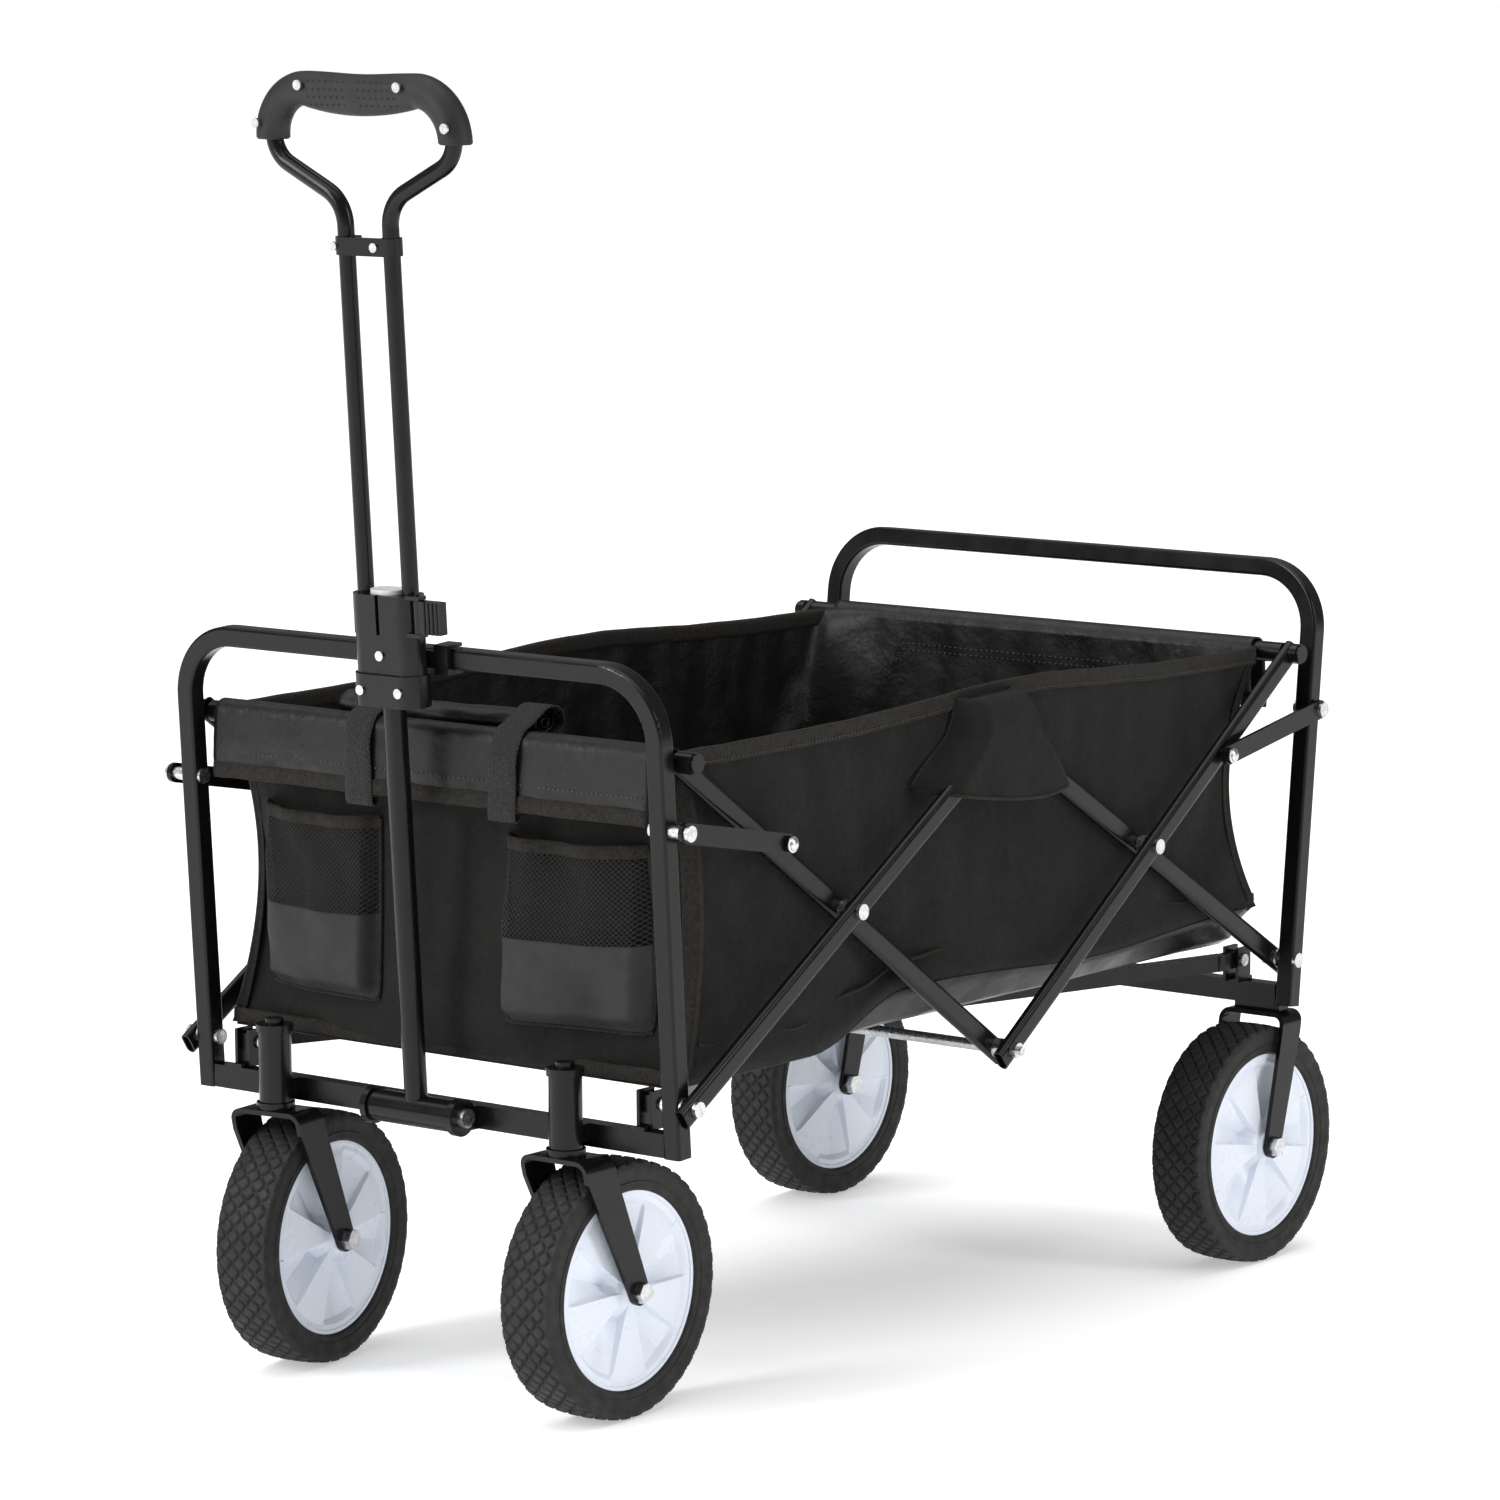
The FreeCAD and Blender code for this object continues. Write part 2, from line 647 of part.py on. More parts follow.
def wheel(name, centre, turn):
    """Tyre and disc of a wheel that spins about its own X axis."""
    tyre_r = size("tyre_r")
    half = size("tyre_width") / 2
    disc_r = size("disc_r")
    placement = Placement(centre, Rotation(Z_AXIS, turn))
    tyre = doc.addObject("PartDesign::Body", name + "_tyre")
    profile = body_sketch(tyre, name + "_tyre_profile", "XY_Plane")
    add_outline(profile, [
        (-half + 4.0, disc_r), (half - 4.0, disc_r), (half - 0.5, disc_r + 4.0),
        (half, disc_r + 9.0), (half - 1.5, tyre_r - 5.0), (half - 5.5, tyre_r - 0.6),
        (half - 9.0, tyre_r), (-half + 9.0, tyre_r), (-half + 5.5, tyre_r - 0.6),
        (-half + 1.5, tyre_r - 5.0), (-half, disc_r + 9.0), (-half + 0.5, disc_r + 4.0),
    ])
    turn_tyre = tyre.newObject("PartDesign::Revolution", name + "_tyre_turn")
    turn_tyre.Profile = profile
    turn_tyre.ReferenceAxis = (profile, ["H_Axis"])
    turn_tyre.Angle = 360.0
    tyre.Placement = placement
    node(name + "_tyre", tyre)
    disc = doc.addObject("PartDesign::Body", name + "_disc")
    section = body_sketch(disc, name + "_disc_profile", "XY_Plane")
    rim_half = half - 4.0
    face = size("disc_width") / 2
    hub_half = size("hub_width") / 2
    bore = size("axle_r") + size("running_gap")
    side = [
        (rim_half, disc_r), (rim_half, disc_r - 3.0), (face, disc_r - 5.0),
        (face, size("hub_r") + 6.0), (face + 2.0, size("hub_r")), (hub_half, size("hub_r") - 5.0),
        (hub_half, bore),
    ]
    add_outline(section, side + [(-u, v) for u, v in reversed(side)])
    turn_disc = disc.newObject("PartDesign::Revolution", name + "_disc_turn")
    turn_disc.Profile = section
    turn_disc.ReferenceAxis = (section, ["H_Axis"])
    turn_disc.Angle = 360.0
    doc.recompute()
    full = disc.Shape.Volume
    # Five wedge recesses between the spokes, on both faces.
    recess = body_sketch(disc, name + "_recess", "YZ_Plane")
    inner, outer = size("hub_r") + 5.0, disc_r - 8.0
    wide, narrow = math.radians(21), math.radians(12)
    for base_angle in (math.radians(72 * k + 36) for k in range(SPOKES)):
        corners = [
            (inner, base_angle - narrow), (outer, base_angle - wide),
            (outer, base_angle + wide), (inner, base_angle + narrow),
        ]
        add_outline(recess, [(r * math.cos(a), r * math.sin(a)) for r, a in corners])
    pocket = disc.newObject("PartDesign::Pocket", name + "_recess_cut")
    pocket.Profile = recess
    pocket.Type = "ThroughAll"
    pocket.Midplane = True
    doc.recompute()
    if disc.Shape.Volume >= full - 1.0:
        raise RuntimeError(name + ": the recesses cut nothing")
    web = doc.addObject("Part::Feature", name + "_web")
    web_shape = Part.makeCylinder(disc_r - 4.0, 6.0, Vector(-3, 0, 0), X_AXIS)
    web.Shape = web_shape.cut(Part.makeCylinder(size("hub_r"), 6.0, Vector(-3, 0, 0), X_AXIS))
    web.Placement = placement
    disc.Placement = placement
    node(name + "_disc", fuse(name + "_disc_whole", [disc, web]))


SPOKES = 5
rear_axle = (size("rear_axle_y"), size("tyre_r"))


def fork_shape(lean_y, top_y, top_depth):
    """Bent-plate fork about the wheel centre: a top plate and two cheeks.

    The axle is at the origin; the plate's centre is at top_y, and lean_y is
    the cheek's centre where it leaves the plate.
    """
    half = size("fork_width") / 2
    thick = size("fork_thick")
    top = size("fork_top_z") - size("tyre_r")
    bend = 9.0
    foot_r = 9.0
    front_view = Part.makeBox(2 * half, 200, top + 40, Vector(-half, -100, -40))
    upper_edges = [
        edge for edge in front_view.Edges
        if abs(edge.CenterOfMass.z - top) < 0.1 and abs(abs(edge.CenterOfMass.x) - half) < 0.1
    ]
    front_view = front_view.makeFillet(bend, upper_edges)
    hollow = Part.makeBox(2 * (half - thick), 200, top - thick + 40, Vector(-half + thick, -100, -40))
    inner_edges = [
        edge for edge in hollow.Edges
        if abs(edge.CenterOfMass.z - (top - thick)) < 0.1
        and abs(abs(edge.CenterOfMass.x) - half + thick) < 0.1
    ]
    hollow = hollow.makeFillet(bend - thick, inner_edges)
    outline = [
        (top_y - top_depth / 2, top), (top_y + top_depth / 2, top),
        (lean_y + top_depth / 2, top - 16.0),
    ]
    # the tangent sides run down to a round foot about the axle
    side = []
    for y, z in outline:
        side.append(Vector(-half, y, z))
    away = Vector(0, lean_y, top - 16.0).normalize()
    across = Vector(0, away.z, -away.y)
    side.append(Vector(-half, 0, 0) + across * foot_r)
    opposite = Vector(-half, 0, 0) - across * foot_r
    arc = Part.Arc(side[-1], Vector(-half, 0, 0) - away * foot_r, opposite).toShape()
    lines = [Part.LineSegment(a, b).toShape() for a, b in zip(side, side[1:])]
    left = Vector(-half, lean_y - top_depth / 2, top - 16.0)
    lines += [arc, Part.LineSegment(opposite, left).toShape(), Part.LineSegment(left, side[0]).toShape()]
    side_face = Part.Face(Part.Wire(lines))
    side_view = side_face.extrude(Vector(2 * half, 0, 0))
    fork = front_view.cut(hollow).common(side_view)
    return fork.cut(Part.makeCylinder(size("axle_r"), 2 * half, Vector(-half, 0, 0), X_AXIS))


def axle_bolt_shape():
    """Axle bolt with a hex head at +X and a nut at -X, across a fork."""
    half = size("fork_width") / 2
    shank = Part.makeCylinder(size("axle_r"), 2 * half, Vector(-half, 0, 0), X_AXIS)
    hexes = []
    for x, length in ((half, 5.5), (-half - 6.5, 6.5)):
        flats = 13.0
        points = []
        for k in range(7):
            angle = math.radians(60 * k)
            radius = flats / math.sqrt(3)
            points.append(Vector(x, radius * math.cos(angle), radius * math.sin(angle)))
        hexes.append(Part.Face(Part.makePolygon(points)).extrude(Vector(length, 0, 0)))
    return shank.fuse(hexes).removeSplitter()


REAR_FORK_DEPTH = 24.0
for side, name in ((-1, "left"), (1, "right")):
    wheel(name + "_rear", at(side * size("rear_wheel_x"), rear_axle[0], rear_axle[1]), 0)

# The rear forks hang from the crossbar by a short welded pad each.
right_axle = at(size("rear_wheel_x"), rear_axle[0], rear_axle[1])
pad_height = size("leg_foot_z") - size("fork_top_z")
pad_corner = at(size("rear_wheel_x") - 20.0, size("leg_foot_y") - 6.0, size("fork_top_z"))
rear_fork = fork_shape(22.0, 25.0, REAR_FORK_DEPTH)
rear_fork.Placement = Placement(right_axle, Rotation())
pad = Part.makeBox(40.0, size("crossbar_depth"), pad_height, pad_corner)
rear_fork = rear_fork.fuse(pad).removeSplitter()
rear_bolt = axle_bolt_shape()
rear_bolt.Placement = Placement(right_axle, Rotation())
feature("rear_forks", Part.makeCompound([rear_fork, rear_fork.mirror(Vector(0, 0, 0), X_AXIS)]))
feature("rear_axle_bolts", Part.makeCompound([rear_bolt, rear_bolt.mirror(Vector(0, 0, 0), X_AXIS)]))


# ----------------------------------------------------------------- casters

STEM_R = 7.0
FLANGE_R = 13.5
CAP_R = 13.0
FORK_FRONT_DEPTH = 30.0
FLANGE_THICK = 4.7
CAP_THICK = 5.0
CAP_GAP = 0.3
head_foot = size("fork_top_z")
right_head = at(size("head_x"), -size("head_y"), 0)
outside_foot = right_head + Z_AXIS * (head_foot + 5.0)
outside_height = "dims.head_top_z - dims.fork_top_z - 5"
head_outside = cylinder("head_outside", "dims.head_r", outside_height, outside_foot, Z_AXIS)
head_bore = doc.addObject("Part::Cylinder", "head_bore")
head_bore.Radius = STEM_R + size("running_gap")
head_bore.setExpression("Height", "dims.head_top_z - dims.fork_top_z")
head_bore.Placement = Placement(right_head + Z_AXIS * head_foot, Rotation())
pair("head_tubes", cut("right_head_tube", head_outside, head_bore))
for side, name in ((-1, "left"), (1, "right")):
    turn = size("left_caster_turn") if side == -1 else 0.0
    head = at(side * size("head_x"), -size("head_y"), 0)
    swivel = Placement(head, Rotation(Z_AXIS, turn))
    wheel_centre = swivel.multVec(Vector(0, size("caster_trail"), size("tyre_r")))
    wheel(name + "_caster", wheel_centre, turn)
    shape = fork_shape(-size("caster_trail") + 4.0, -size("caster_trail"), FORK_FRONT_DEPTH)
    feature(name + "_caster_fork", shape, Placement(wheel_centre, Rotation(Z_AXIS, turn)))
    bolt_turn = turn if side == 1 else turn + 180
    bolt_place = Placement(wheel_centre, Rotation(Z_AXIS, bolt_turn))
    feature(name + "_caster_axle_bolt", axle_bolt_shape(), bolt_place)
    head_top = size("head_top_z")
    stem = Part.makeCylinder(STEM_R, head_top - head_foot, head + Z_AXIS * head_foot)
    flange = Part.makeCylinder(FLANGE_R, FLANGE_THICK, head + Z_AXIS * head_foot)
    cap = Part.makeCylinder(CAP_R, CAP_THICK, head + Z_AXIS * (head_top + CAP_GAP))
    neck = Part.makeCylinder(STEM_R, CAP_GAP, head + Z_AXIS * head_top)
    nut = Part.makeCylinder(6.5, 4.0, head + Z_AXIS * (head_top + CAP_GAP + CAP_THICK))
    feature(name + "_caster_stem", stem.fuse([flange, neck, cap, nut]).removeSplitter())

# Welded gussets tie each head tube to the front crossbar.
gusset_top = size("leg_foot_z") + size("crossbar_height")
gap_y = size("head_y") - size("leg_foot_y") - size("crossbar_depth") / 2
gussets = []
for side in (-1, 1):
    corner = at(
        side * size("head_x") - 8.0, -size("head_y"), size("fork_top_z") + 8.0
    )
    slab = Part.makeBox(16.0, gap_y, gusset_top - size("fork_top_z") - 8.0, corner)
    head = at(side * size("head_x"), -size("head_y"), size("fork_top_z"))
    gussets.append(slab.cut(Part.makeCylinder(size("head_r"), 80, head)))
gusset_pair = doc.addObject("Part::Feature", "gussets")
gusset_pair.Shape = Part.makeCompound(gussets)
node("front_crossbar", fuse("welded_crossbar", [crossbars["front"], gusset_pair]))


# ------------------------------------------------------------- pull handle

handle_place = Placement(
    at(0, -size("handle_y"), size("handle_z")), Rotation(X_AXIS, size("handle_lean"))
)
EAR_THICK = 5.0
EAR_GAP = 0.4
ear_x = size("sleeve_half") + EAR_GAP
ears = []
for side in (-1, 1):
    low = ear_x if side == 1 else -ear_x - EAR_THICK
    pivot = at(low, -size("handle_y"), size("handle_z"))
    round_end = Part.makeCylinder(size("sleeve_r") + 2.0, EAR_THICK, pivot, X_AXIS)
    reach = size("handle_y") - size("leg_foot_y") - size("crossbar_depth") / 2
    arm_corner = at(low, -size("handle_y"), size("leg_foot_z"))
    arm = Part.makeBox(EAR_THICK, reach, size("crossbar_height"), arm_corner)
    clear = at(low, -size("leg_foot_y") - size("crossbar_depth") / 2, size("leg_foot_z") - 10)
    trim = Part.makeBox(EAR_THICK, 40, 60, clear)
    ear = round_end.fuse(arm).cut(trim).removeSplitter()
    ears.append(ear.cut(Part.makeCylinder(4.0, EAR_THICK, pivot, X_AXIS)))
feature("handle_ears", Part.makeCompound(ears))
bolt_half = ear_x + EAR_THICK
handle_bolt = bolt("handle_pivot_bolt", at(0, -size("handle_y"), size("handle_z")), [
    (-bolt_half - 5.0, -bolt_half, 6.5),
    (-bolt_half, bolt_half, 4.0),
    (bolt_half, bolt_half + 5.0, 6.5),
])
node("handle_pivot_bolt", handle_bolt)

sleeve_end = Vector(-size("sleeve_half"), 0, 0)
sleeve = Part.makeCylinder(size("sleeve_r"), 2 * size("sleeve_half"), sleeve_end, X_AXIS)
tube = Part.makeCylinder(size("lower_tube_r"), size("clamp_foot"), Vector(0, 0, 0))
tube_bore = Part.makeCylinder(size("lower_tube_r") - 1.2, size("clamp_foot") - 3.0, Vector(0, 0, 0))
sleeve_bore = Part.makeCylinder(4.0 + size("running_gap"), 2 * size("sleeve_half"), sleeve_end, X_AXIS)
feature("handle_pivot_sleeve", sleeve.cut(sleeve_bore), handle_place)
feature("handle_lower_tube", tube.cut(tube_bore).cut(sleeve), handle_place)


def stadium(half_width, half_depth, foot, top):
    """Upright block with round ends, along the handle's own line."""
    core = Part.makeBox(
        2 * (half_width - half_depth), 2 * half_depth, top - foot,
        Vector(half_depth - half_width, -half_depth, foot),
    )
    rounds = [
        Part.makeCylinder(half_depth, top - foot, Vector(side * (half_width - half_depth), 0, foot))
        for side in (-1, 1)
    ]
    return core.fuse(rounds).removeSplitter()


def drilled_housing(shape, slack):
    """Cut the lower tube's and the two rods' holes through a housing piece."""
    reach = size("clamp_top") + 50
    tools = [Part.makeCylinder(size("lower_tube_r"), size("clamp_foot"), Vector(0, 0, 0))]
    for side in (-1, 1):
        tools.append(Part.makeCylinder(size("rod_r") + slack, reach, Vector(side * size("rod_x"), 0, 0)))
    for tool in tools:
        shape = shape.cut(tool)
    return shape


ROD_SLACK = size("running_gap")
rod_tools = Part.makeCompound([
    Part.makeCylinder(size("rod_r") + ROD_SLACK, 500, Vector(side * size("rod_x"), 0, 0)) for side in (-1, 1)
])
lower_collar = stadium(29.0, 14.0, size("collar_foot"), size("collar_top"))
feature("handle_lower_collar", drilled_housing(lower_collar, ROD_SLACK), handle_place)
middle_sleeve = stadium(27.5, 11.5, size("collar_top"), size("clamp_foot"))
feature("handle_middle_sleeve", drilled_housing(middle_sleeve, ROD_SLACK), handle_place)
clamp_collar = stadium(28.0, 12.5, size("clamp_foot"), size("clamp_top"))
clamp_slit = Part.makeBox(3.0, 30, 60, Vector(-1.5, -30, size("clamp_foot") - 10))
clamp_shape = drilled_housing(clamp_collar, ROD_SLACK).cut(clamp_slit)
rod_cap = stadium(13.0, 9.0, size("clamp_top"), size("clamp_top") + 3.0)
feature("handle_rod_cap", drilled_housing(rod_cap, ROD_SLACK), handle_place)

# Screws of the housing: two in the lower collar, one in the middle sleeve.
SCREW_R = 3.4
screws = []
for x, depth, h in ((-17.0, 14.0, 292.0), (17.0, 14.0, 292.0), (0.0, 11.5, 316.0)):
    screws.append(Part.makeCylinder(SCREW_R, 1.6, Vector(x, -depth - 1.6, h), Y_AXIS))
feature("handle_housing_screws", Part.makeCompound(screws), handle_place)

# Clips: each hooks over the front hoop's top bar from the front.
clip_room = 0.8
bar_half = size("hoop_side") / 2
hoop_top = hoop_placement(FRONT).multVec(Vector(0, 0, size("front_hoop_length") - bar_half))
bar_local = handle_place.inverse().multVec(hoop_top)
clips = []
for side in (-1, 1):
    low_x = 27.7 if side == 1 else -39.7
    front_y = bar_local.y - bar_half - clip_room
    height = 2 * (bar_half + clip_room + 2.5)
    back = Part.makeBox(12.0, 3.5, height, Vector(low_x, front_y - 3.5, bar_local.z - height / 2))
    fingers = []
    for lift in (-1, 1):
        z_low = bar_local.z + (bar_half + clip_room if lift == 1 else -bar_half - clip_room - 2.5)
        fingers.append(Part.makeBox(12.0, 2 * bar_half - 2.0, 2.5, Vector(low_x, front_y, z_low)))
    wing_x = 10.0 if side == 1 else -39.7
    wing = Part.makeBox(29.7, 3.5, 12.0, Vector(wing_x, front_y - 3.5, bar_local.z - 6.0))
    clips.append(back.fuse(fingers + [wing]).removeSplitter())
housing_cut = stadium(27.5, 11.5, size("collar_top"), size("clamp_foot"))
collar_cut = stadium(29.0, 14.0, size("collar_foot"), size("collar_top"))
clips = [clip.cut(housing_cut).cut(collar_cut) for clip in clips]
feature("handle_hoop_clips", Part.makeCompound(clips), handle_place)

# Cam lever on the clamp collar's right, with a ribbed thumb tab.
LEVER_X = 28.5
LEVER_TALL = 22.0
lever_foot = size("clamp_foot") + 3.0
lever_axis = Vector(LEVER_X + 4.0, -6.0, 0)
lever_boss = Part.makeCylinder(4.0, LEVER_TALL, lever_axis + Z_AXIS * lever_foot)
lever_tab = Part.makeBox(19.0, 7.0, LEVER_TALL, Vector(LEVER_X + 6.0, -9.5, lever_foot))
lever = lever_boss.fuse(lever_tab)
for k in range(4):
    rib_x = LEVER_X + 11.0 + 3.6 * k
    lever = lever.fuse(Part.makeCylinder(1.1, LEVER_TALL, Vector(rib_x, -9.5, lever_foot)))
lever = lever.cut(Part.makeCylinder(2.0 + size("running_gap"), 60, lever_axis + Z_AXIS * 320))
feature("clamp_lever", lever.removeSplitter(), handle_place)
lever_pin = Part.makeCylinder(2.0, 24.0, lever_axis + Z_AXIS * (lever_foot - 1.0))
lugs = [lever_pin]
for foot in (lever_foot - 3.0, lever_foot + 22.3):
    lugs.append(Part.makeBox(12.0, 8.0, 2.7, Vector(LEVER_X - 5.0, -10.0, foot)))
clamp_shape = clamp_shape.fuse([lug.cut(rod_tools) for lug in lugs]).removeSplitter()
feature("handle_clamp_collar", clamp_shape, handle_place)


def rounded_path(points, radii):
    """Straight runs in the XZ plane joined by tangent arcs at the inner points."""
    edges = []
    start = points[0]
    for before, corner, after, radius in zip(points, points[1:], points[2:], radii):
        into = (corner - before).normalize()
        out = (after - corner).normalize()
        half_turn = into.getAngle(out) / 2
        reach = radius * math.tan(half_turn)
        first = corner - into * reach
        last = corner + out * reach
        bisector = (out - into).normalize()
        centre = corner + bisector * (radius / math.cos(half_turn))
        middle = centre - bisector * radius
        edges.append(Part.LineSegment(start, first).toShape())
        edges.append(Part.Arc(first, middle, last).toShape())
        start = last
    edges.append(Part.LineSegment(start, points[-1]).toShape())
    return Part.Wire(edges)


# One bent tube makes both rods and the loop inside the grip.
ROD_KNEE = 619.0
ROD_ELBOW = 649.0
ROD_CROWN = 694.0
ROD_WIDE = 80.0
route = [
    (-size("rod_x"), size("rod_foot")), (-size("rod_x"), ROD_KNEE), (-ROD_WIDE, ROD_ELBOW),
    (-ROD_WIDE, ROD_CROWN), (ROD_WIDE, ROD_CROWN), (ROD_WIDE, ROD_ELBOW),
    (size("rod_x"), ROD_KNEE), (size("rod_x"), size("rod_foot")),
]
rod_path = rounded_path([Vector(x, 0, h) for x, h in route], [26.0, 22.0, 28.0, 28.0, 22.0, 26.0])
rod_solids = []
for radius in (size("rod_r"), size("rod_r") - size("rod_wall")):
    ring = Part.Circle(Vector(-size("rod_x"), 0, size("rod_foot")), Z_AXIS, radius)
    rod_solids.append(rod_path.makePipeShell([Part.Wire(ring.toShape())], True, False))
feature("handle_rods", rod_solids[0].cut(rod_solids[1]), handle_place)

grip_half = size("grip_half")
grip_top = size("grip_top")
GRIP_FOOT = 661.0
GRIP_CORNER = 40.0
GRIP_INNER = 66.0
INNER_FOOT = 668.0
INNER_CORNER = 19.0
INNER_TOP = 687.0
BELLY_LOW = 680.0
outer_left = Vector(-grip_half, 0, GRIP_FOOT)
shoulder_left = Vector(-grip_half, 0, grip_top - GRIP_CORNER)
crown_left = Vector(-grip_half + GRIP_CORNER, 0, grip_top)
bulge = GRIP_CORNER * (1 - math.sqrt(0.5))


def mirror_x(point):
    """The same point on the other side."""
    return Vector(-point.x, point.y, point.z)


arc_left = Part.Arc(shoulder_left, Vector(-grip_half + bulge, 0, grip_top - bulge), crown_left)
outer_bulge = Vector(grip_half - bulge, 0, grip_top - bulge)
arc_right = Part.Arc(mirror_x(crown_left), outer_bulge, mirror_x(shoulder_left))
inner_left = Vector(-GRIP_INNER, 0, GRIP_FOOT)
inner_rise = Vector(-GRIP_INNER, 0, INNER_FOOT)
inner_top = Vector(-GRIP_INNER + INNER_CORNER, 0, INNER_TOP)
inner_bulge = INNER_CORNER * (1 - math.sqrt(0.5))
inner_middle = Vector(-GRIP_INNER + inner_bulge, 0, INNER_TOP - inner_bulge)
inner_arc_left = Part.Arc(inner_top, inner_middle, inner_rise)
inner_arc_right = Part.Arc(mirror_x(inner_rise), mirror_x(inner_middle), mirror_x(inner_top))
belly = Part.Arc(mirror_x(inner_top), Vector(0, 0, BELLY_LOW), inner_top)
grip_wire = Part.Wire([
    Part.LineSegment(outer_left, shoulder_left).toShape(), arc_left.toShape(),
    Part.LineSegment(crown_left, mirror_x(crown_left)).toShape(), arc_right.toShape(),
    Part.LineSegment(mirror_x(shoulder_left), mirror_x(outer_left)).toShape(),
    Part.LineSegment(mirror_x(outer_left), mirror_x(inner_left)).toShape(),
    Part.LineSegment(mirror_x(inner_left), mirror_x(inner_rise)).toShape(), inner_arc_right.toShape(),
    belly.toShape(), inner_arc_left.toShape(),
    Part.LineSegment(inner_rise, inner_left).toShape(),
    Part.LineSegment(inner_left, outer_left).toShape(),
])
depth = size("grip_depth")
grip = Part.Face(grip_wire).extrude(Vector(0, depth, 0))
grip.translate(Vector(0, -depth / 2, 0))
long_edges = [edge for edge in grip.Edges if abs(abs(edge.CenterOfMass.y) - depth / 2) < 0.01]
outer_edges = [
    edge for edge in long_edges
    if edge.CenterOfMass.z > grip_top - 1.0 or abs(edge.CenterOfMass.x) > grip_half - GRIP_CORNER / 2
]
outer_edges = [edge for edge in outer_edges if edge.CenterOfMass.z > GRIP_FOOT + 0.5]
grip = grip.makeFillet(6.0, outer_edges)
feature("grip", grip.cut(rod_solids[0]), handle_place)
RIVET_R = 3.4
rivets = []
for x, h in ((-84.0, 671.0), (-44.0, 697.0), (44.0, 697.0), (84.0, 671.0)):
    rivets.append(Part.makeCylinder(RIVET_R, 1.4, Vector(x, -depth / 2 - 1.4, h), Y_AXIS))

strap_top = size("strap_foot") + size("strap_height")
strap_outer = stadium(27.5, 7.5, size("strap_foot"), strap_top)
strap = strap_outer.cut(Part.makeBox(26.0, 40, 60, Vector(-13, -3.5, size("strap_foot") - 10)))
for side in (-1, 1):
    strap = strap.cut(Part.makeCylinder(size("rod_r"), 60, Vector(side * size("rod_x"), 0, 570)))
feature("rod_joining_strap", strap, handle_place)
for x in (-25.0, 11.0):
    rivets.append(Part.makeCylinder(3.2, 1.4, Vector(x, -8.9, size("strap_foot") + 6.0), Y_AXIS))
feature("handle_rivets", Part.makeCompound(rivets), handle_place)


# -------------------------------------------------------------- fabric tub

wall = size("tub_wall")
half_w = size("tub_half_width")
half_l = size("tub_half_length")
floor_z = size("tub_floor_z")
rim_z = size("tub_rim_z")
SEAM_GAP = 0.4
for end, name in ((FRONT, "front"), (REAR, "rear")):
    y_low = -half_l if end == FRONT else SEAM_GAP
    y_high = -SEAM_GAP if end == FRONT else half_l
    outside = Part.makeBox(2 * half_w, y_high - y_low, rim_z - floor_z, at(-half_w, y_low, floor_z))
    open_low = y_low + wall if end == FRONT else y_low - 1.0
    open_high = y_high + 1.0 if end == FRONT else y_high - wall
    inside = Part.makeBox(
        2 * (half_w - wall), open_high - open_low, rim_z - floor_z,
        at(-half_w + wall, open_low, floor_z + wall),
    )
    feature("tub_%s_half" % name, outside.cut(inside))

# Hems that wrap the cross tubes.
HEM_THICK = 1.6
HEM_HALF = 196.0
for end, name in ((FRONT, "front"), (REAR, "rear")):
    centre = at(-HEM_HALF, end * size("top_pivot_y"), size("top_pivot_z"))
    ring = Part.makeCylinder(size("cross_tube_r") + 0.2 + HEM_THICK, 2 * HEM_HALF, centre, X_AXIS)
    ring = ring.cut(Part.makeCylinder(size("cross_tube_r") + 0.2, 2 * HEM_HALF, centre, X_AXIS))
    feature(name + "_hem", ring)

# Two pockets sewn to the tub's front wall.
pockets = []
for low_x, high_x in ((-172.0, -58.0), (58.0, 172.0)):
    corner = at(low_x, -half_l - 7.0, 252.0)
    pockets.append(Part.makeBox(high_x - low_x, 6.6, 150.0, corner))
feature("front_pockets", Part.makeCompound(pockets))


# ------------------------------------------------------------------ checks

doc.recompute()
for obj in doc.Objects:
    if "Invalid" in obj.State or "Error" in obj.State:
        raise RuntimeError("failed: " + obj.Name)
for label, obj in nodes.items():
    shape = obj.Shape
    if shape.isNull() or not shape.isValid() or not shape.Solids:
        raise RuntimeError("bad shape: " + label)
    shape.exportStep("parts/%s.step" % label)
whole = Part.makeCompound([obj.Shape for obj in nodes.values()]).BoundBox
print(len(nodes), "nodes")
print("box", [round(v, 2) for v in (whole.XMin, whole.XMax, whole.YMin, whole.YMax, whole.ZMin, whole.ZMax)])
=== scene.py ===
import json
import math
import random

import bmesh
import bpy
import numpy as np
from mathutils import Matrix, Vector, noise
from mathutils.bvhtree import BVHTree


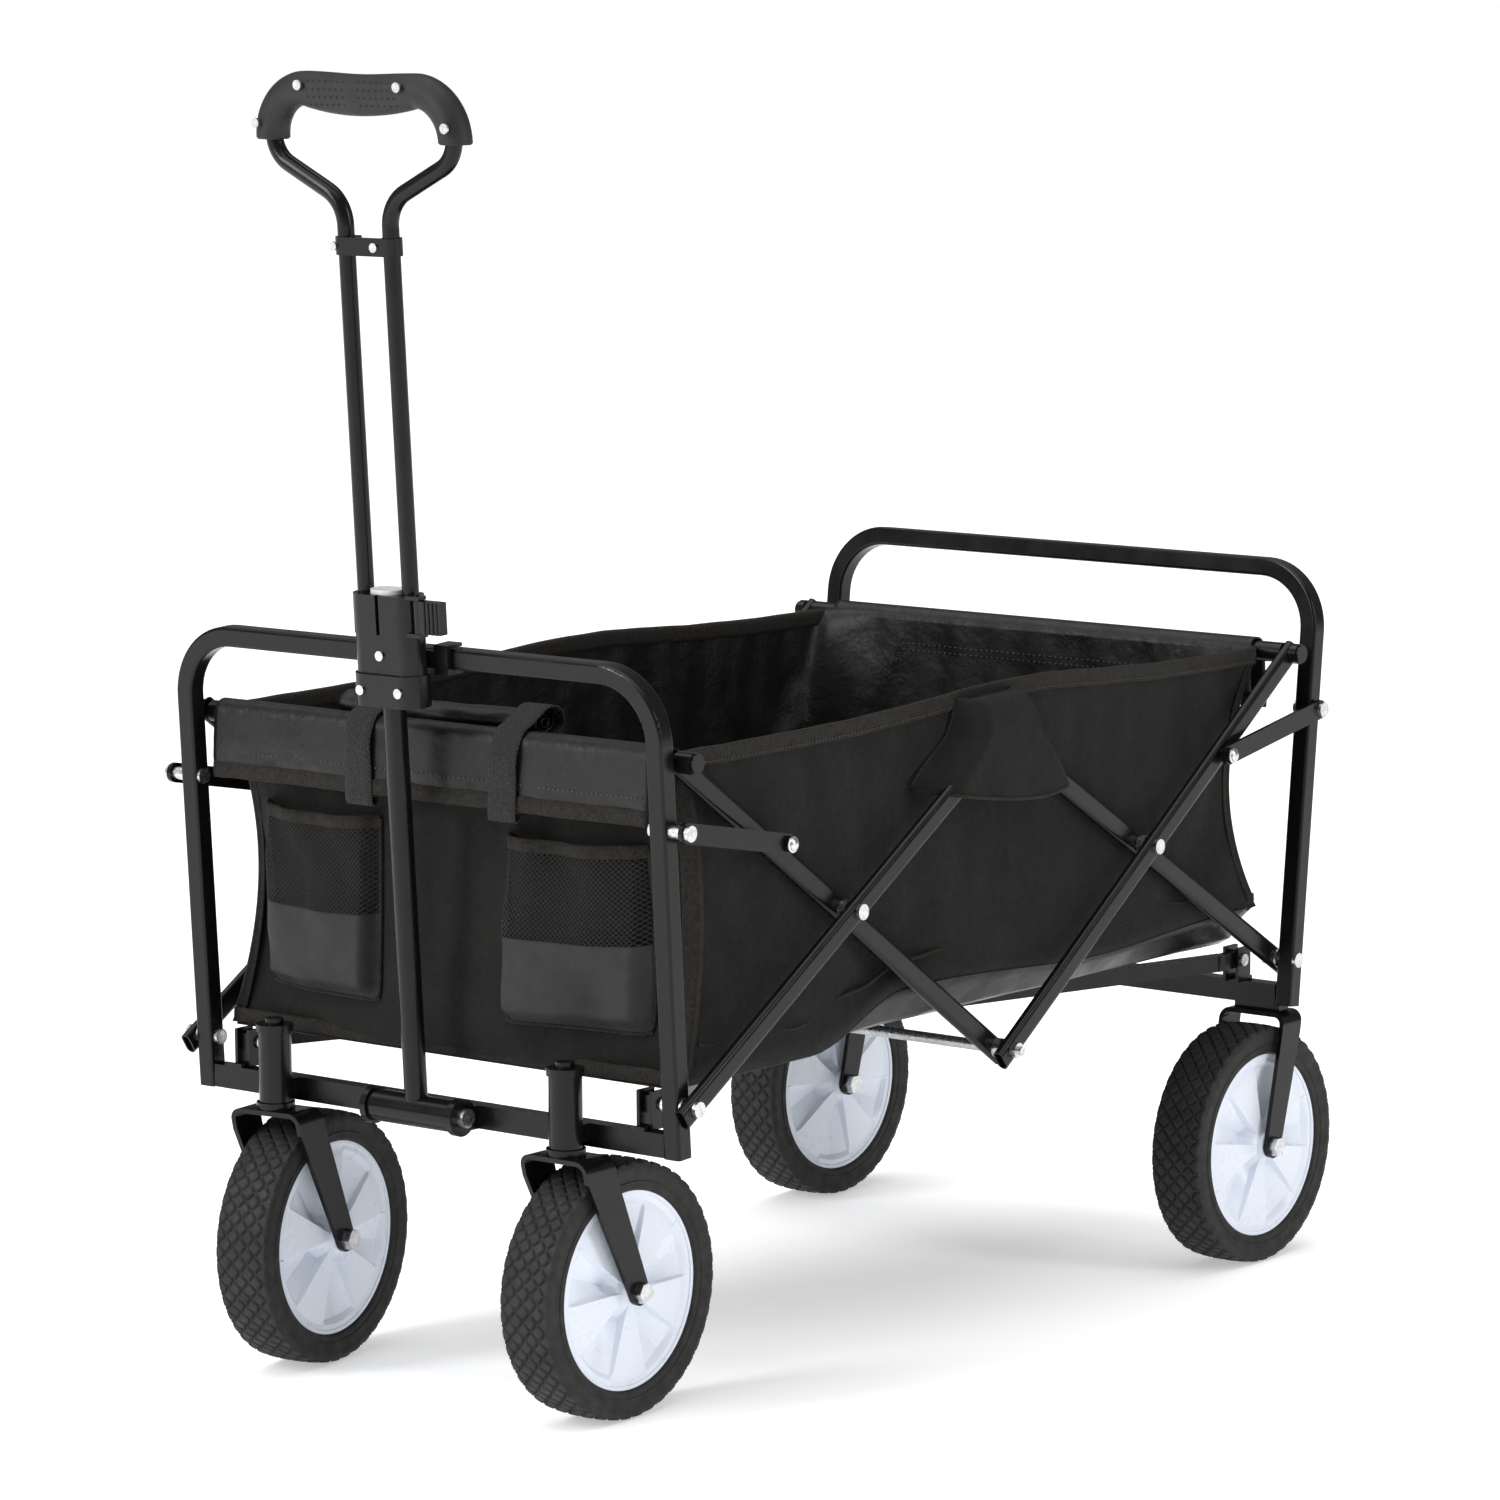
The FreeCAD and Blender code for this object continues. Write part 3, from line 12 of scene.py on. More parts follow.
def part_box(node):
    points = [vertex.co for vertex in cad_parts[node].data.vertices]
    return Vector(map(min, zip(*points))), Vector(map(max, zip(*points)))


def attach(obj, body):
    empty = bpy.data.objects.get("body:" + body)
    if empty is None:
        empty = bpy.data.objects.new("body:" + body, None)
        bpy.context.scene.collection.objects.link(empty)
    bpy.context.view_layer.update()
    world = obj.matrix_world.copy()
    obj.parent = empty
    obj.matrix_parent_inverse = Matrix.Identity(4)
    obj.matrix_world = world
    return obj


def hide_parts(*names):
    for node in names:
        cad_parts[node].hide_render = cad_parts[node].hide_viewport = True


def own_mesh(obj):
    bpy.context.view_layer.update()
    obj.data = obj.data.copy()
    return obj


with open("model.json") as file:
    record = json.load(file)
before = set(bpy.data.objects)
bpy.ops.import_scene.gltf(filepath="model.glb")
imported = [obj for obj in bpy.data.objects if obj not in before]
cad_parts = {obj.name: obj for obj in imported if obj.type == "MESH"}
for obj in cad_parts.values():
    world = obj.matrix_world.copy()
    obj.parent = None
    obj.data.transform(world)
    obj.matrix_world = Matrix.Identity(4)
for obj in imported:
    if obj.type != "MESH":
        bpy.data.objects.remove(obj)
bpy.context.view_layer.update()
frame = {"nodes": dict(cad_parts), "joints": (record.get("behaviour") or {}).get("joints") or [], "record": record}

random.seed(7)
scene = bpy.context.scene
MM = 0.001


# ---------------------------------------------------------------- materials

class Finish:
    """A Principled material whose nodes are added one call at a time."""

    def __init__(self, name, colour, roughness, metallic=0.0, **constants):
        self.material = bpy.data.materials.new(name)
        self.material.use_nodes = True
        self.nodes = self.material.node_tree.nodes
        self.links = self.material.node_tree.links
        self.shader = self.nodes["Principled BSDF"]
        self.shader.inputs["Base Color"].default_value = (*colour, 1.0)
        self.shader.inputs["Roughness"].default_value = roughness
        self.shader.inputs["Metallic"].default_value = metallic
        for socket, value in constants.items():
            self.shader.inputs[socket.replace("_", " ")].default_value = value
        self.coordinates = self.nodes.new("ShaderNodeTexCoord")
        self.colour = colour
        self.last_bump = None

    def math(self, operation, a, b=None):
        node = self.nodes.new("ShaderNodeMath")
        node.operation = operation
        for socket, value in zip(node.inputs, (a, b)):
            if value is None:
                continue
            if isinstance(value, (int, float)):
                socket.default_value = value
            else:
                self.links.new(value, socket)
        return node.outputs[0]

    def noise(self, scale, detail=3.0, roughness=0.5, where="Object"):
        node = self.nodes.new("ShaderNodeTexNoise")
        node.inputs["Scale"].default_value = scale
        node.inputs["Detail"].default_value = detail
        node.inputs["Roughness"].default_value = roughness
        self.links.new(self.coordinates.outputs[where], node.inputs["Vector"])
        return node.outputs["Fac"]

    def spread(self, value, low, high, from_low=0.3, from_high=0.7):
        node = self.nodes.new("ShaderNodeMapRange")
        node.inputs["From Min"].default_value = from_low
        node.inputs["From Max"].default_value = from_high
        node.inputs["To Min"].default_value = low
        node.inputs["To Max"].default_value = high
        self.links.new(value, node.inputs["Value"])
        return node.outputs["Result"]

    def vary_roughness(self, value, low, high):
        self.links.new(self.spread(value, low, high), self.shader.inputs["Roughness"])

    def vary_colour(self, value, other):
        """Blend from the base colour to another as value goes from low to high."""
        mix = self.nodes.new("ShaderNodeMix")
        mix.data_type = "RGBA"
        mix.inputs[6].default_value = (*self.colour, 1.0)
        mix.inputs[7].default_value = (*other, 1.0)
        self.links.new(self.spread(value, 0.0, 1.0), mix.inputs[0])
        self.links.new(mix.outputs[2], self.shader.inputs["Base Color"])

    def bump(self, height, strength, depth):
        node = self.nodes.new("ShaderNodeBump")
        node.inputs["Strength"].default_value = strength
        node.inputs["Distance"].default_value = depth
        self.links.new(height, node.inputs["Height"])
        if self.last_bump is not None:
            self.links.new(self.last_bump, node.inputs["Normal"])
        self.last_bump = node.outputs["Normal"]
        self.links.new(self.last_bump, self.shader.inputs["Normal"])

    def threads(self, pitch_u, pitch_v):
        """Height of a plain weave over the UV map, which is in metres."""
        split = self.nodes.new("ShaderNodeSeparateXYZ")
        self.links.new(self.coordinates.outputs["UV"], split.inputs[0])
        u = self.math("MULTIPLY", split.outputs["X"], math.pi / pitch_u)
        v = self.math("MULTIPLY", split.outputs["Y"], math.pi / pitch_v)
        warp = self.math("ABSOLUTE", self.math("SINE", u))
        weft = self.math("ABSOLUTE", self.math("SINE", v))
        over = self.math("MULTIPLY", self.math("SINE", u), self.math("SINE", v))
        chosen = self.math("GREATER_THAN", over, 0.0)
        up = self.math("MULTIPLY", warp, chosen)
        down = self.math("MULTIPLY", weft, self.math("SUBTRACT", 1.0, chosen))
        return self.math("ADD", up, down)


def make_materials():
    made = {}

    paint = Finish("frame_paint", (0.005, 0.0048, 0.0052), 0.24, Specular_IOR_Level=0.24)
    paint.vary_roughness(paint.noise(38, 4), 0.18, 0.3)
    paint.bump(paint.noise(900, 2), 0.12, 0.0002)
    made["frame"] = paint

    grip = Finish("grip_plastic", (0.014, 0.0135, 0.014), 0.5, Specular_IOR_Level=0.35)
    grip.vary_roughness(grip.noise(60, 3), 0.48, 0.62)
    grip.bump(grip.noise(2600, 2), 0.35, 0.0003)
    made["grip"] = grip

    plastic = Finish("black_plastic", (0.006, 0.006, 0.0065), 0.24, Specular_IOR_Level=0.26)
    plastic.vary_roughness(plastic.noise(80, 3), 0.16, 0.3)
    plastic.bump(plastic.noise(1500, 2), 0.12, 0.0002)
    made["plastic"] = plastic

    pale = Finish("pale_plastic", (0.62, 0.62, 0.64), 0.4)
    pale.vary_roughness(pale.noise(90, 3), 0.34, 0.5)
    pale.bump(pale.noise(1500, 2), 0.1, 0.0002)
    made["pale"] = pale

    zinc = Finish("zinc_steel", (0.72, 0.73, 0.74), 0.28, metallic=1.0)
    zinc.vary_roughness(zinc.noise(400, 4), 0.2, 0.42)
    zinc.vary_colour(zinc.noise(260, 5), (0.5, 0.5, 0.5))
    zinc.bump(zinc.noise(1800, 3), 0.15, 0.0002)
    made["zinc"] = zinc

    rubber = Finish("tyre_rubber", (0.015, 0.0145, 0.014), 0.66, Specular_IOR_Level=0.3)
    rubber.vary_roughness(rubber.noise(120, 4), 0.55, 0.82)
    rubber.vary_colour(rubber.noise(55, 6, 0.65), (0.026, 0.025, 0.024))
    rubber.bump(rubber.noise(1400, 4), 0.3, 0.0004)
    made["rubber"] = rubber

    white = Finish("wheel_plastic", (0.76, 0.81, 0.9), 0.3, Subsurface_Weight=0.0)
    white.vary_roughness(white.noise(70, 3), 0.24, 0.4)
    white.bump(white.noise(900, 2), 0.08, 0.0002)
    made["white"] = white

    cloth = Finish("oxford_cloth", (0.0095, 0.009, 0.009), 0.8, Specular_IOR_Level=0.16, Sheen_Weight=0.03)
    cloth.vary_colour(cloth.noise(26, 5, 0.6), (0.015, 0.0142, 0.013))
    cloth.vary_roughness(cloth.noise(160, 3), 0.78, 0.94)
    cloth.bump(cloth.noise(48, 4), 0.35, 0.0025)
    cloth.bump(cloth.threads(0.00085, 0.00085), 0.75, 0.00045)
    made["cloth"] = cloth

    pouch = Finish("pouch_cloth", (0.034, 0.0315, 0.031), 0.62, Specular_IOR_Level=0.3)
    pouch.vary_colour(pouch.noise(30, 5, 0.6), (0.02, 0.019, 0.0185))
    pouch.bump(pouch.noise(60, 5, 0.6), 0.55, 0.004)
    pouch.bump(pouch.threads(0.0009, 0.0009), 0.6, 0.0004)
    made["pouch"] = pouch

    lining = Finish("coated_lining", (0.007, 0.007, 0.0075), 0.36, Specular_IOR_Level=0.32)
    lining.vary_roughness(lining.noise(30, 5), 0.26, 0.5)
    lining.bump(lining.noise(34, 5, 0.6), 0.5, 0.004)
    lining.bump(lining.threads(0.0008, 0.0008), 0.25, 0.0002)
    made["lining"] = lining

    tape = Finish("binding_tape", (0.03, 0.026, 0.021), 0.85, Specular_IOR_Level=0.15, Sheen_Weight=0.04)
    tape.vary_colour(tape.noise(300, 4), (0.015, 0.013, 0.011))
    tape.bump(tape.threads(0.0016, 0.0011), 0.9, 0.0006)
    made["tape"] = tape

    webbing = Finish("webbing", (0.014, 0.0135, 0.013), 0.7, Specular_IOR_Level=0.25, Sheen_Weight=0.05)
    webbing.vary_colour(webbing.noise(420, 3), (0.028, 0.027, 0.026))
    webbing.bump(webbing.threads(0.0017, 0.0013), 1.0, 0.0009)
    made["webbing"] = webbing

    thread = Finish("sewing_thread", (0.05, 0.048, 0.045), 0.6, Sheen_Weight=0.2)
    thread.vary_colour(thread.noise(900, 2), (0.03, 0.03, 0.03))
    thread.bump(thread.noise(3000, 2), 0.4, 0.0002)
    made["thread"] = thread

    return {name: finish.material for name, finish in made.items()}


MATERIAL = make_materials()


# ------------------------------------------------------------ mesh helpers

def new_object(name, vertices, faces, material, uvs=None, smooth=True):
    """Mesh object from vertex and face lists; uvs hold one pair per vertex."""
    mesh = bpy.data.meshes.new(name)
    mesh.from_pydata([tuple(v) for v in vertices], [], faces)
    if uvs is not None:
        layer = mesh.uv_layers.new(name="UVMap")
        index = np.zeros(len(mesh.loops), int)
        mesh.loops.foreach_get("vertex_index", index)
        layer.data.foreach_set("uv", np.array(uvs, np.float32)[index].ravel())
    mesh.update()
    mesh.polygons.foreach_set("use_smooth", [smooth] * len(mesh.polygons))
    obj = bpy.data.objects.new(name, mesh)
    scene.collection.objects.link(obj)
    for one in material if isinstance(material, (list, tuple)) else [material]:
        mesh.materials.append(one)
    return obj


def grid_faces(rows, columns, wrap_rows=False, wrap_columns=False):
    """Quads of a grid whose vertex (row, column) has the index row * columns + column."""
    faces = []
    for row in range(rows if wrap_rows else rows - 1):
        for column in range(columns if wrap_columns else columns - 1):
            next_row = (row + 1) % rows
            next_column = (column + 1) % columns
            faces.append((
                row * columns + column, row * columns + next_column,
                next_row * columns + next_column, next_row * columns + column,
            ))
    return faces


def crisp(obj, degrees):
    """Smooth shading with edges sharper than the angle left hard."""
    work = bmesh.new()
    work.from_mesh(obj.data)
    limit = math.radians(degrees)
    for edge in work.edges:
        edge.smooth = len(edge.link_faces) == 2 and edge.calc_face_angle(0.0) < limit
    work.to_mesh(obj.data)
    work.free()
    return obj


def apply_modifiers(obj):
    """Replace the mesh with its evaluated form, and drop the modifiers."""
    depsgraph = bpy.context.evaluated_depsgraph_get()
    mesh = bpy.data.meshes.new_from_object(obj.evaluated_get(depsgraph), depsgraph=depsgraph)
    obj.modifiers.clear()
    obj.data = mesh
    return obj


def sheet_grid(name, point, u_values, v_values, size, material, thickness=0.0, offset=0.0):
    """Sheet through point(u, v), with UVs in metres and an optional thickness."""
    vertices = [point(u, v) for u in u_values for v in v_values]
    uvs = [(u * size[0], v * size[1]) for u in u_values for v in v_values]
    obj = new_object(name, vertices, grid_faces(len(u_values), len(v_values)), material, uvs)
    if thickness:
        solid = obj.modifiers.new("thickness", "SOLIDIFY")
        solid.thickness = thickness
        solid.offset = offset
        if isinstance(material, (list, tuple)) and len(material) > 1:
            solid.material_offset = 1
        apply_modifiers(obj)
    return obj


def smoothstep(value, low, high):
    share = min(1.0, max(0.0, (value - low) / (high - low)))
    return share * share * (3 - 2 * share)


# ----------------------------------------------- places read from the frame

def middle(node):
    low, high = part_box(node)
    return (low + high) / 2


JOINTS = {joint["name"]: joint for joint in frame["joints"]}
CHILD_JOINT = {joint["child"]: joint for joint in frame["joints"]}


# ------------------------------------------------------------------- wheels

WHEELS = {
    "left_caster": "left_caster_wheel",
    "right_caster": "right_caster_wheel",
    "left_rear": "left_rear_wheel",
    "right_rear": "right_rear_wheel",
}
TYRE_R = (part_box("right_rear_tyre")[1].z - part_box("right_rear_tyre")[0].z) / 2
TYRE_HALF = (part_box("right_rear_tyre")[1].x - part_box("right_rear_tyre")[0].x) / 2
BEAD_R = TYRE_R - 20.5 * MM
DIAMONDS = 44
TREAD_DEPTH = 1.5 * MM
ROUND_STEPS = 12


def tyre_profile():
    """Points (x, radius, tread share) from one bead over the tread to the other."""
    side = [
        (0.80, BEAD_R - 1.0 * MM), (0.90, BEAD_R), (0.955, BEAD_R + 1.2 * MM), (0.965, BEAD_R + 4.6 * MM),
        (0.968, BEAD_R + 5.0 * MM), (0.995, BEAD_R + 5.4 * MM), (0.995, BEAD_R + 6.2 * MM),
        (0.968, BEAD_R + 6.6 * MM), (0.972, BEAD_R + 7.2 * MM), (0.985, BEAD_R + 11.0 * MM),
        (0.99, BEAD_R + 13.0 * MM), (1.0, BEAD_R + 14.0 * MM), (0.985, BEAD_R + 16.2 * MM),
        (0.955, BEAD_R + 17.9 * MM),
    ]
    points = [(-x * TYRE_HALF, radius, 0.0) for x, radius in side]
    across = 46
    for step in range(across + 1):
        x = (-0.93 + 1.86 * step / across) * TYRE_HALF
        crown = TYRE_R - 1.6 * MM * abs(x / TYRE_HALF) ** 2.6
        points.append((x, crown, 1.0))
    points += [(x * TYRE_HALF, radius, 0.0) for x, radius in reversed(side)]
    return points


def groove(turns, x):
    """How deep the tread is cut at a place, 0 on top of a diamond and 1 in a groove."""
    pitch = 2 * TYRE_HALF / 3.5
    a = turns * DIAMONDS
    b = x / pitch
    nearest = 1.0
    for diagonal in (a + b, a - b):
        distance = abs(diagonal - round(diagonal))
        nearest = min(nearest, distance)
    return 1.0 - min(1.0, max(0.0, (nearest - 0.055) / 0.075))


def make_tyre_mesh():
    profile = tyre_profile()
    around = DIAMONDS * ROUND_STEPS
    vertices = []
    for step in range(around):
        turns = step / around
        angle = 2 * math.pi * turns
        for x, radius, tread in profile:
            shoulder = 1.0 if abs(x) < 0.86 * TYRE_HALF else 0.8
            r = radius - tread * shoulder * TREAD_DEPTH * groove(turns, x)
            vertices.append((x, r * math.cos(angle), r * math.sin(angle)))
    obj = new_object(
        "tyre_pattern", vertices, grid_faces(around, len(profile), wrap_rows=True), MATERIAL["rubber"]
    )
    crisp(obj, 38)
    mesh = obj.data
    bpy.data.objects.remove(obj)
    return mesh


DISC_R = BEAD_R + 0.4 * MM
HUB_R = 13.0 * MM
SPOKES = 5
RIM_X = 17.4 * MM
HUB_X = 19.5 * MM


def disc_depth(share, angle):
    """How far a face point sinks below the cone from hub to rim; share goes from hub to rim."""
    sector = 360 / SPOKES
    offset = abs((math.degrees(angle) + sector / 2) % sector - sector / 2)
    edge = 17.0
    if share > 0.93:
        return 0.0
    if offset <= edge:
        return 0.9 * MM * smoothstep(share, 0.80, 0.93)
    valley = (offset - edge) / (sector / 2 - edge)
    wall = min(1.0, (offset - edge) / 1.6)
    near_hub = (9.5 * (1 - share) + 3.2) * MM
    floor = near_hub * (0.45 + 0.55 * valley)
    lip = 1.0 - smoothstep(share, 0.86, 0.93)
    mouth = smoothstep(share, 0.0, 0.12)
    return floor * wall * lip * (0.15 + 0.85 * mouth)


def disc_angles():
    """Angles round the disc, closer together at the spokes' edges."""
    sector = 360 / SPOKES
    steps = [-17.0, -11.0, -5.0, 0.0, 5.0, 11.0, 17.0, 17.8, 18.6]
    steps += [22.0, 26.0, 31.0, 36.0, 41.0, 46.0, 50.0, 53.4, 54.2]
    return [math.radians(sector * spoke + step) for spoke in range(SPOKES) for step in steps]


def make_disc_mesh():
    angles = disc_angles()
    shares = [0.0, 0.05, 0.12, 0.2, 0.3, 0.42, 0.55, 0.68, 0.8, 0.86, 0.9, 0.93, 1.0]
    flat_r = DISC_R - 3.5 * MM
    rings = []
    hub = [
        (4.1 * MM, HUB_X + 5.0 * MM), (8.5 * MM, HUB_X + 5.0 * MM),
        (9.2 * MM, HUB_X + 4.4 * MM), (9.6 * MM, HUB_X + 0.6 * MM),
    ]
    rings += [[(r, x)] * len(angles) for r, x in hub]
    for share in shares:
        r = HUB_R + (flat_r - HUB_R) * share
        cone = HUB_X + (RIM_X - HUB_X) * share
        rings.append([(r, cone - disc_depth(share, angle)) for angle in angles])
    rim = [
        (flat_r + 0.3 * MM, RIM_X + 1.0 * MM), (DISC_R - 1.0 * MM, RIM_X + 1.2 * MM),
        (DISC_R, RIM_X + 0.4 * MM),
    ]
    rings += [[(r, x)] * len(angles) for r, x in rim]
    both = rings + [[(r, -x) for r, x in ring] for ring in reversed(rings)]
    vertices = []
    for ring in both:
        for angle, (r, x) in zip(angles, ring):
            vertices.append((x, r * math.cos(angle), r * math.sin(angle)))
    faces = grid_faces(len(both), len(angles), wrap_rows=True, wrap_columns=True)
    obj = new_object("disc_pattern", vertices, faces, MATERIAL["white"])
    crisp(obj, 14)
    work = bmesh.new()
    work.from_mesh(obj.data)
    bmesh.ops.recalc_face_normals(work, faces=work.faces)
    work.to_mesh(obj.data)
    work.free()
    mesh = obj.data
    bpy.data.objects.remove(obj)
    return mesh


def make_wheels():
    tyre_mesh = make_tyre_mesh()
    disc_mesh = make_disc_mesh()
    for index, (wheel, body) in enumerate(WHEELS.items()):
        axis = Vector(CHILD_JOINT[body]["axis"]).normalized()
        turn = Matrix.Rotation(math.atan2(axis.y, axis.x), 4, "Z")
        roll = Matrix.Rotation(math.radians(23 + 31 * index), 4, "X")
        for part, mesh, slot in (("tyre", tyre_mesh, "tyre_rubber"), ("disc", disc_mesh, "white_plastic")):
            obj = bpy.data.objects.new(f"{wheel}_{part}_look", mesh)
            scene.collection.objects.link(obj)
            obj.matrix_world = Matrix.Translation(middle(f"{wheel}_{part}")) @ turn @ roll
            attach(obj, body)
            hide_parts(f"{wheel}_{part}")


make_wheels()


# ---------------------------------------------------------------- the tub

TUB_LOW = Vector(map(min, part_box("tub_front_half")[0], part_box("tub_rear_half")[0]))
TUB_HIGH = Vector(map(max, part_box("tub_front_half")[1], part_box("tub_rear_half")[1]))
FRONT_Y, REAR_Y = TUB_LOW.y, TUB_HIGH.y
MID_Y = (FRONT_Y + REAR_Y) / 2
FLOOR_Z = TUB_LOW.z
TUB_TOP = TUB_HIGH.z
SIDE_X = TUB_HIGH.x + 1.0 * MM
CLOTH_THICK = 1.6 * MM


def finish_soft(obj, body="front_tub", squash=True):
    """A soft piece rides on the tub; with squash it gets a mesh of its own."""
    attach(obj, body)
    if squash:
        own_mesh(obj)
    return obj


def corner_pull(down, amount):
    """How far a corner is drawn in at a share of the height below the rim."""
    return amount * max(0.0, math.sin(math.pi * down)) ** 0.8


def rim_height(y):
    """Height of the side panels' top edge: it rises a little over the middle joint."""
    from_middle = (y - MID_Y) / (REAR_Y - FRONT_Y)
    lift = 9.5 * MM * math.exp(-((from_middle - 0.06) / 0.2) ** 2)
    return TUB_TOP - 3.0 * MM + lift


def side_lift(y):
    """How far a side panel's lower edge stands above the floor cloth."""
    rise = 32.0 * MM * smoothstep(y, -0.185, -0.075)
    return rise - 10.0 * MM * math.exp(-((y - 0.147) / 0.12) ** 2)


def wall_point(panel, s, down):
    """Point of the tub's wall: s runs from -1 to 1 along a panel, down from rim to floor."""
    front_in = FRONT_Y + corner_pull(down, 27 * MM)
    rear_in = REAR_Y - corner_pull(down, 33 * MM)
    corner_x = SIDE_X - 5.0 * MM * math.sin(math.pi * down)
    if panel in ("front", "rear"):
        edge = front_in if panel == "front" else rear_in
        flat = FRONT_Y - 2.0 * MM * math.sin(math.pi * down) if panel == "front" else REAR_Y
        y = flat + (edge - flat) * abs(s) ** 4
        x = corner_x * s
        if panel == "rear":
            x = -x
        top = TUB_TOP - 1.0 * MM
    else:
        y = front_in + (rear_in - front_in) * (s + 1) / 2
        belly = 4.0 * MM * math.sin(math.pi * down) * (1 - s * s)
        skirt = 6.0 * MM * math.sin(math.pi * smoothstep(down, 0.88, 1.0)) * (1 - s ** 6)
        x = corner_x - belly + skirt - 4.0 * MM * smoothstep(down, 0.95, 1.0)
        top = rim_height(y)
        if panel == "left":
            y = front_in + (rear_in - front_in) * (1 - s) / 2
            x = -x
            top = rim_height(y)
    foot = FLOOR_Z + (side_lift(y) if panel != "front" else 0.0)
    if panel == "rear":
        foot = FLOOR_Z + side_lift(REAR_Y) * abs(s) ** 3
    z = top + (foot - top) * down
    return Vector((x, y, z))


WALL_ROWS = 23
PANEL_STEPS = (("front", 38), ("right", 62), ("rear", 38), ("left", 62))


def wall_columns():
    """(panel, s, distance round the rim) of each column, from the front left corner."""
    columns = []
    distance = 0.0
    for panel, steps in PANEL_STEPS:
        length = 2 * SIDE_X if panel in ("front", "rear") else REAR_Y - FRONT_Y
        for step in range(steps):
            columns.append((panel, -1 + 2 * step / steps, distance + length * step / steps))
        distance += length
    return columns


def drape(obj, pins, frames, growth):
    """Cloth run with some points held and a little spare cloth, then applied."""
    group = obj.vertex_groups.new(name="held")
    for index, weight in pins.items():
        group.add([index], weight, "REPLACE")
    cloth = obj.modifiers.new("cloth", "CLOTH")
    settings = cloth.settings
    settings.quality = 7
    settings.mass = 0.25
    settings.tension_stiffness = 18
    settings.compression_stiffness = 18
    settings.shear_stiffness = 8
    settings.bending_stiffness = 1.2
    settings.air_damping = 2.0
    settings.vertex_group_mass = "held"
    settings.shrink_min = -growth
    cloth.collision_settings.use_collision = False
    cloth.point_cache.frame_start = 1
    cloth.point_cache.frame_end = frames
    scene.frame_start = 1
    scene.frame_end = frames
    for frame_number in range(1, frames + 1):
        scene.frame_set(frame_number)
    apply_modifiers(obj)
    scene.frame_set(1)


def make_tub_wall():
    columns = wall_columns()
    rows = [row / (WALL_ROWS - 1) for row in range(WALL_ROWS)]
    vertices = []
    pins = {}
    for panel, s, _ in columns:
        for row, down in enumerate(rows):
            at_corner = s == -1
            if at_corner or row in (0, WALL_ROWS - 1):
                pins[len(vertices)] = 1.0
            point = wall_point(panel, s, down)
            ripple = 1.6 * MM * noise.noise(point * 21) * math.sin(math.pi * down)
            outward = {"front": (0, -1, 0), "rear": (0, 1, 0), "right": (1, 0, 0), "left": (-1, 0, 0)}[panel]
            vertices.append(point + Vector(outward) * ripple)
    obj = new_object(
        "tub_wall", vertices, grid_faces(len(columns), WALL_ROWS, wrap_rows=True),
        [MATERIAL["cloth"], MATERIAL["lining"]],
    )
    work = bmesh.new()
    work.from_mesh(obj.data)
    layer = work.loops.layers.uv.new("UVMap")
    height = TUB_TOP - FLOOR_Z
    total = columns[-1][2] + (REAR_Y - FRONT_Y) / PANEL_STEPS[-1][1]
    for face in work.faces:
        places = [loop.vert.index // WALL_ROWS for loop in face.loops]
        wraps = max(places) - min(places) > 1
        for loop, place in zip(face.loops, places):
            distance = columns[place][2]
            if wraps and place == 0:
                distance = total
            row = loop.vert.index % WALL_ROWS
            loop[layer].uv = (distance, height * (1 - row / (WALL_ROWS - 1)))
    bmesh.ops.recalc_face_normals(work, faces=work.faces)
    side_faces = [face for face in work.faces if abs(face.normal.x) > 0.9]
    if sum(face.normal.dot(face.calc_center_median()) for face in side_faces) < 0:
        bmesh.ops.reverse_faces(work, faces=work.faces)
    work.to_mesh(obj.data)
    work.free()
    drape(obj, pins, 26, 0.012)
    reach_x = SIDE_X + 1.2 * MM
    for vertex in obj.data.vertices:
        co = vertex.co
        co.x = max(-reach_x, min(reach_x, co.x))
        limit = 7.0 * MM if co.z < TUB_TOP - 25 * MM else 0.5 * MM
        co.y = max(FRONT_Y - limit, min(REAR_Y + limit, co.y))
    fine = obj.modifiers.new("fine", "SUBSURF")
    fine.levels = 1
    fine.render_levels = 1
    solid = obj.modifiers.new("thickness", "SOLIDIFY")
    solid.thickness = CLOTH_THICK
    solid.offset = -1.0
    solid.material_offset = 1
    apply_modifiers(obj)
    finish_soft(obj)
    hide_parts("tub_front_half", "tub_rear_half")
    return obj


def make_tub_floor():
    across, along = 40, 66

    def point(u, v):
        x = -SIDE_X + 4.0 * MM + 2 * (SIDE_X - 4.0 * MM) * u
        y = FRONT_Y + (REAR_Y - FRONT_Y) * v
        edge = min(1.0, 8 * min(u, 1 - u, v, 1 - v))
        z = FLOOR_Z + 0.6 * MM + 1.2 * MM * edge * (1 + noise.noise(Vector((x, y, 0)) * 14))
        z += side_lift(y) * smoothstep(abs(2 * u - 1), 0.86, 1.0)
        return Vector((x, y, z))

    obj = sheet_grid(
        "tub_floor", point, np.linspace(0, 1, across), np.linspace(0, 1, along),
        (2 * SIDE_X, REAR_Y - FRONT_Y), [MATERIAL["lining"], MATERIAL["cloth"]], 1.2 * MM, 1.0,
    )
    finish_soft(obj)
    return obj


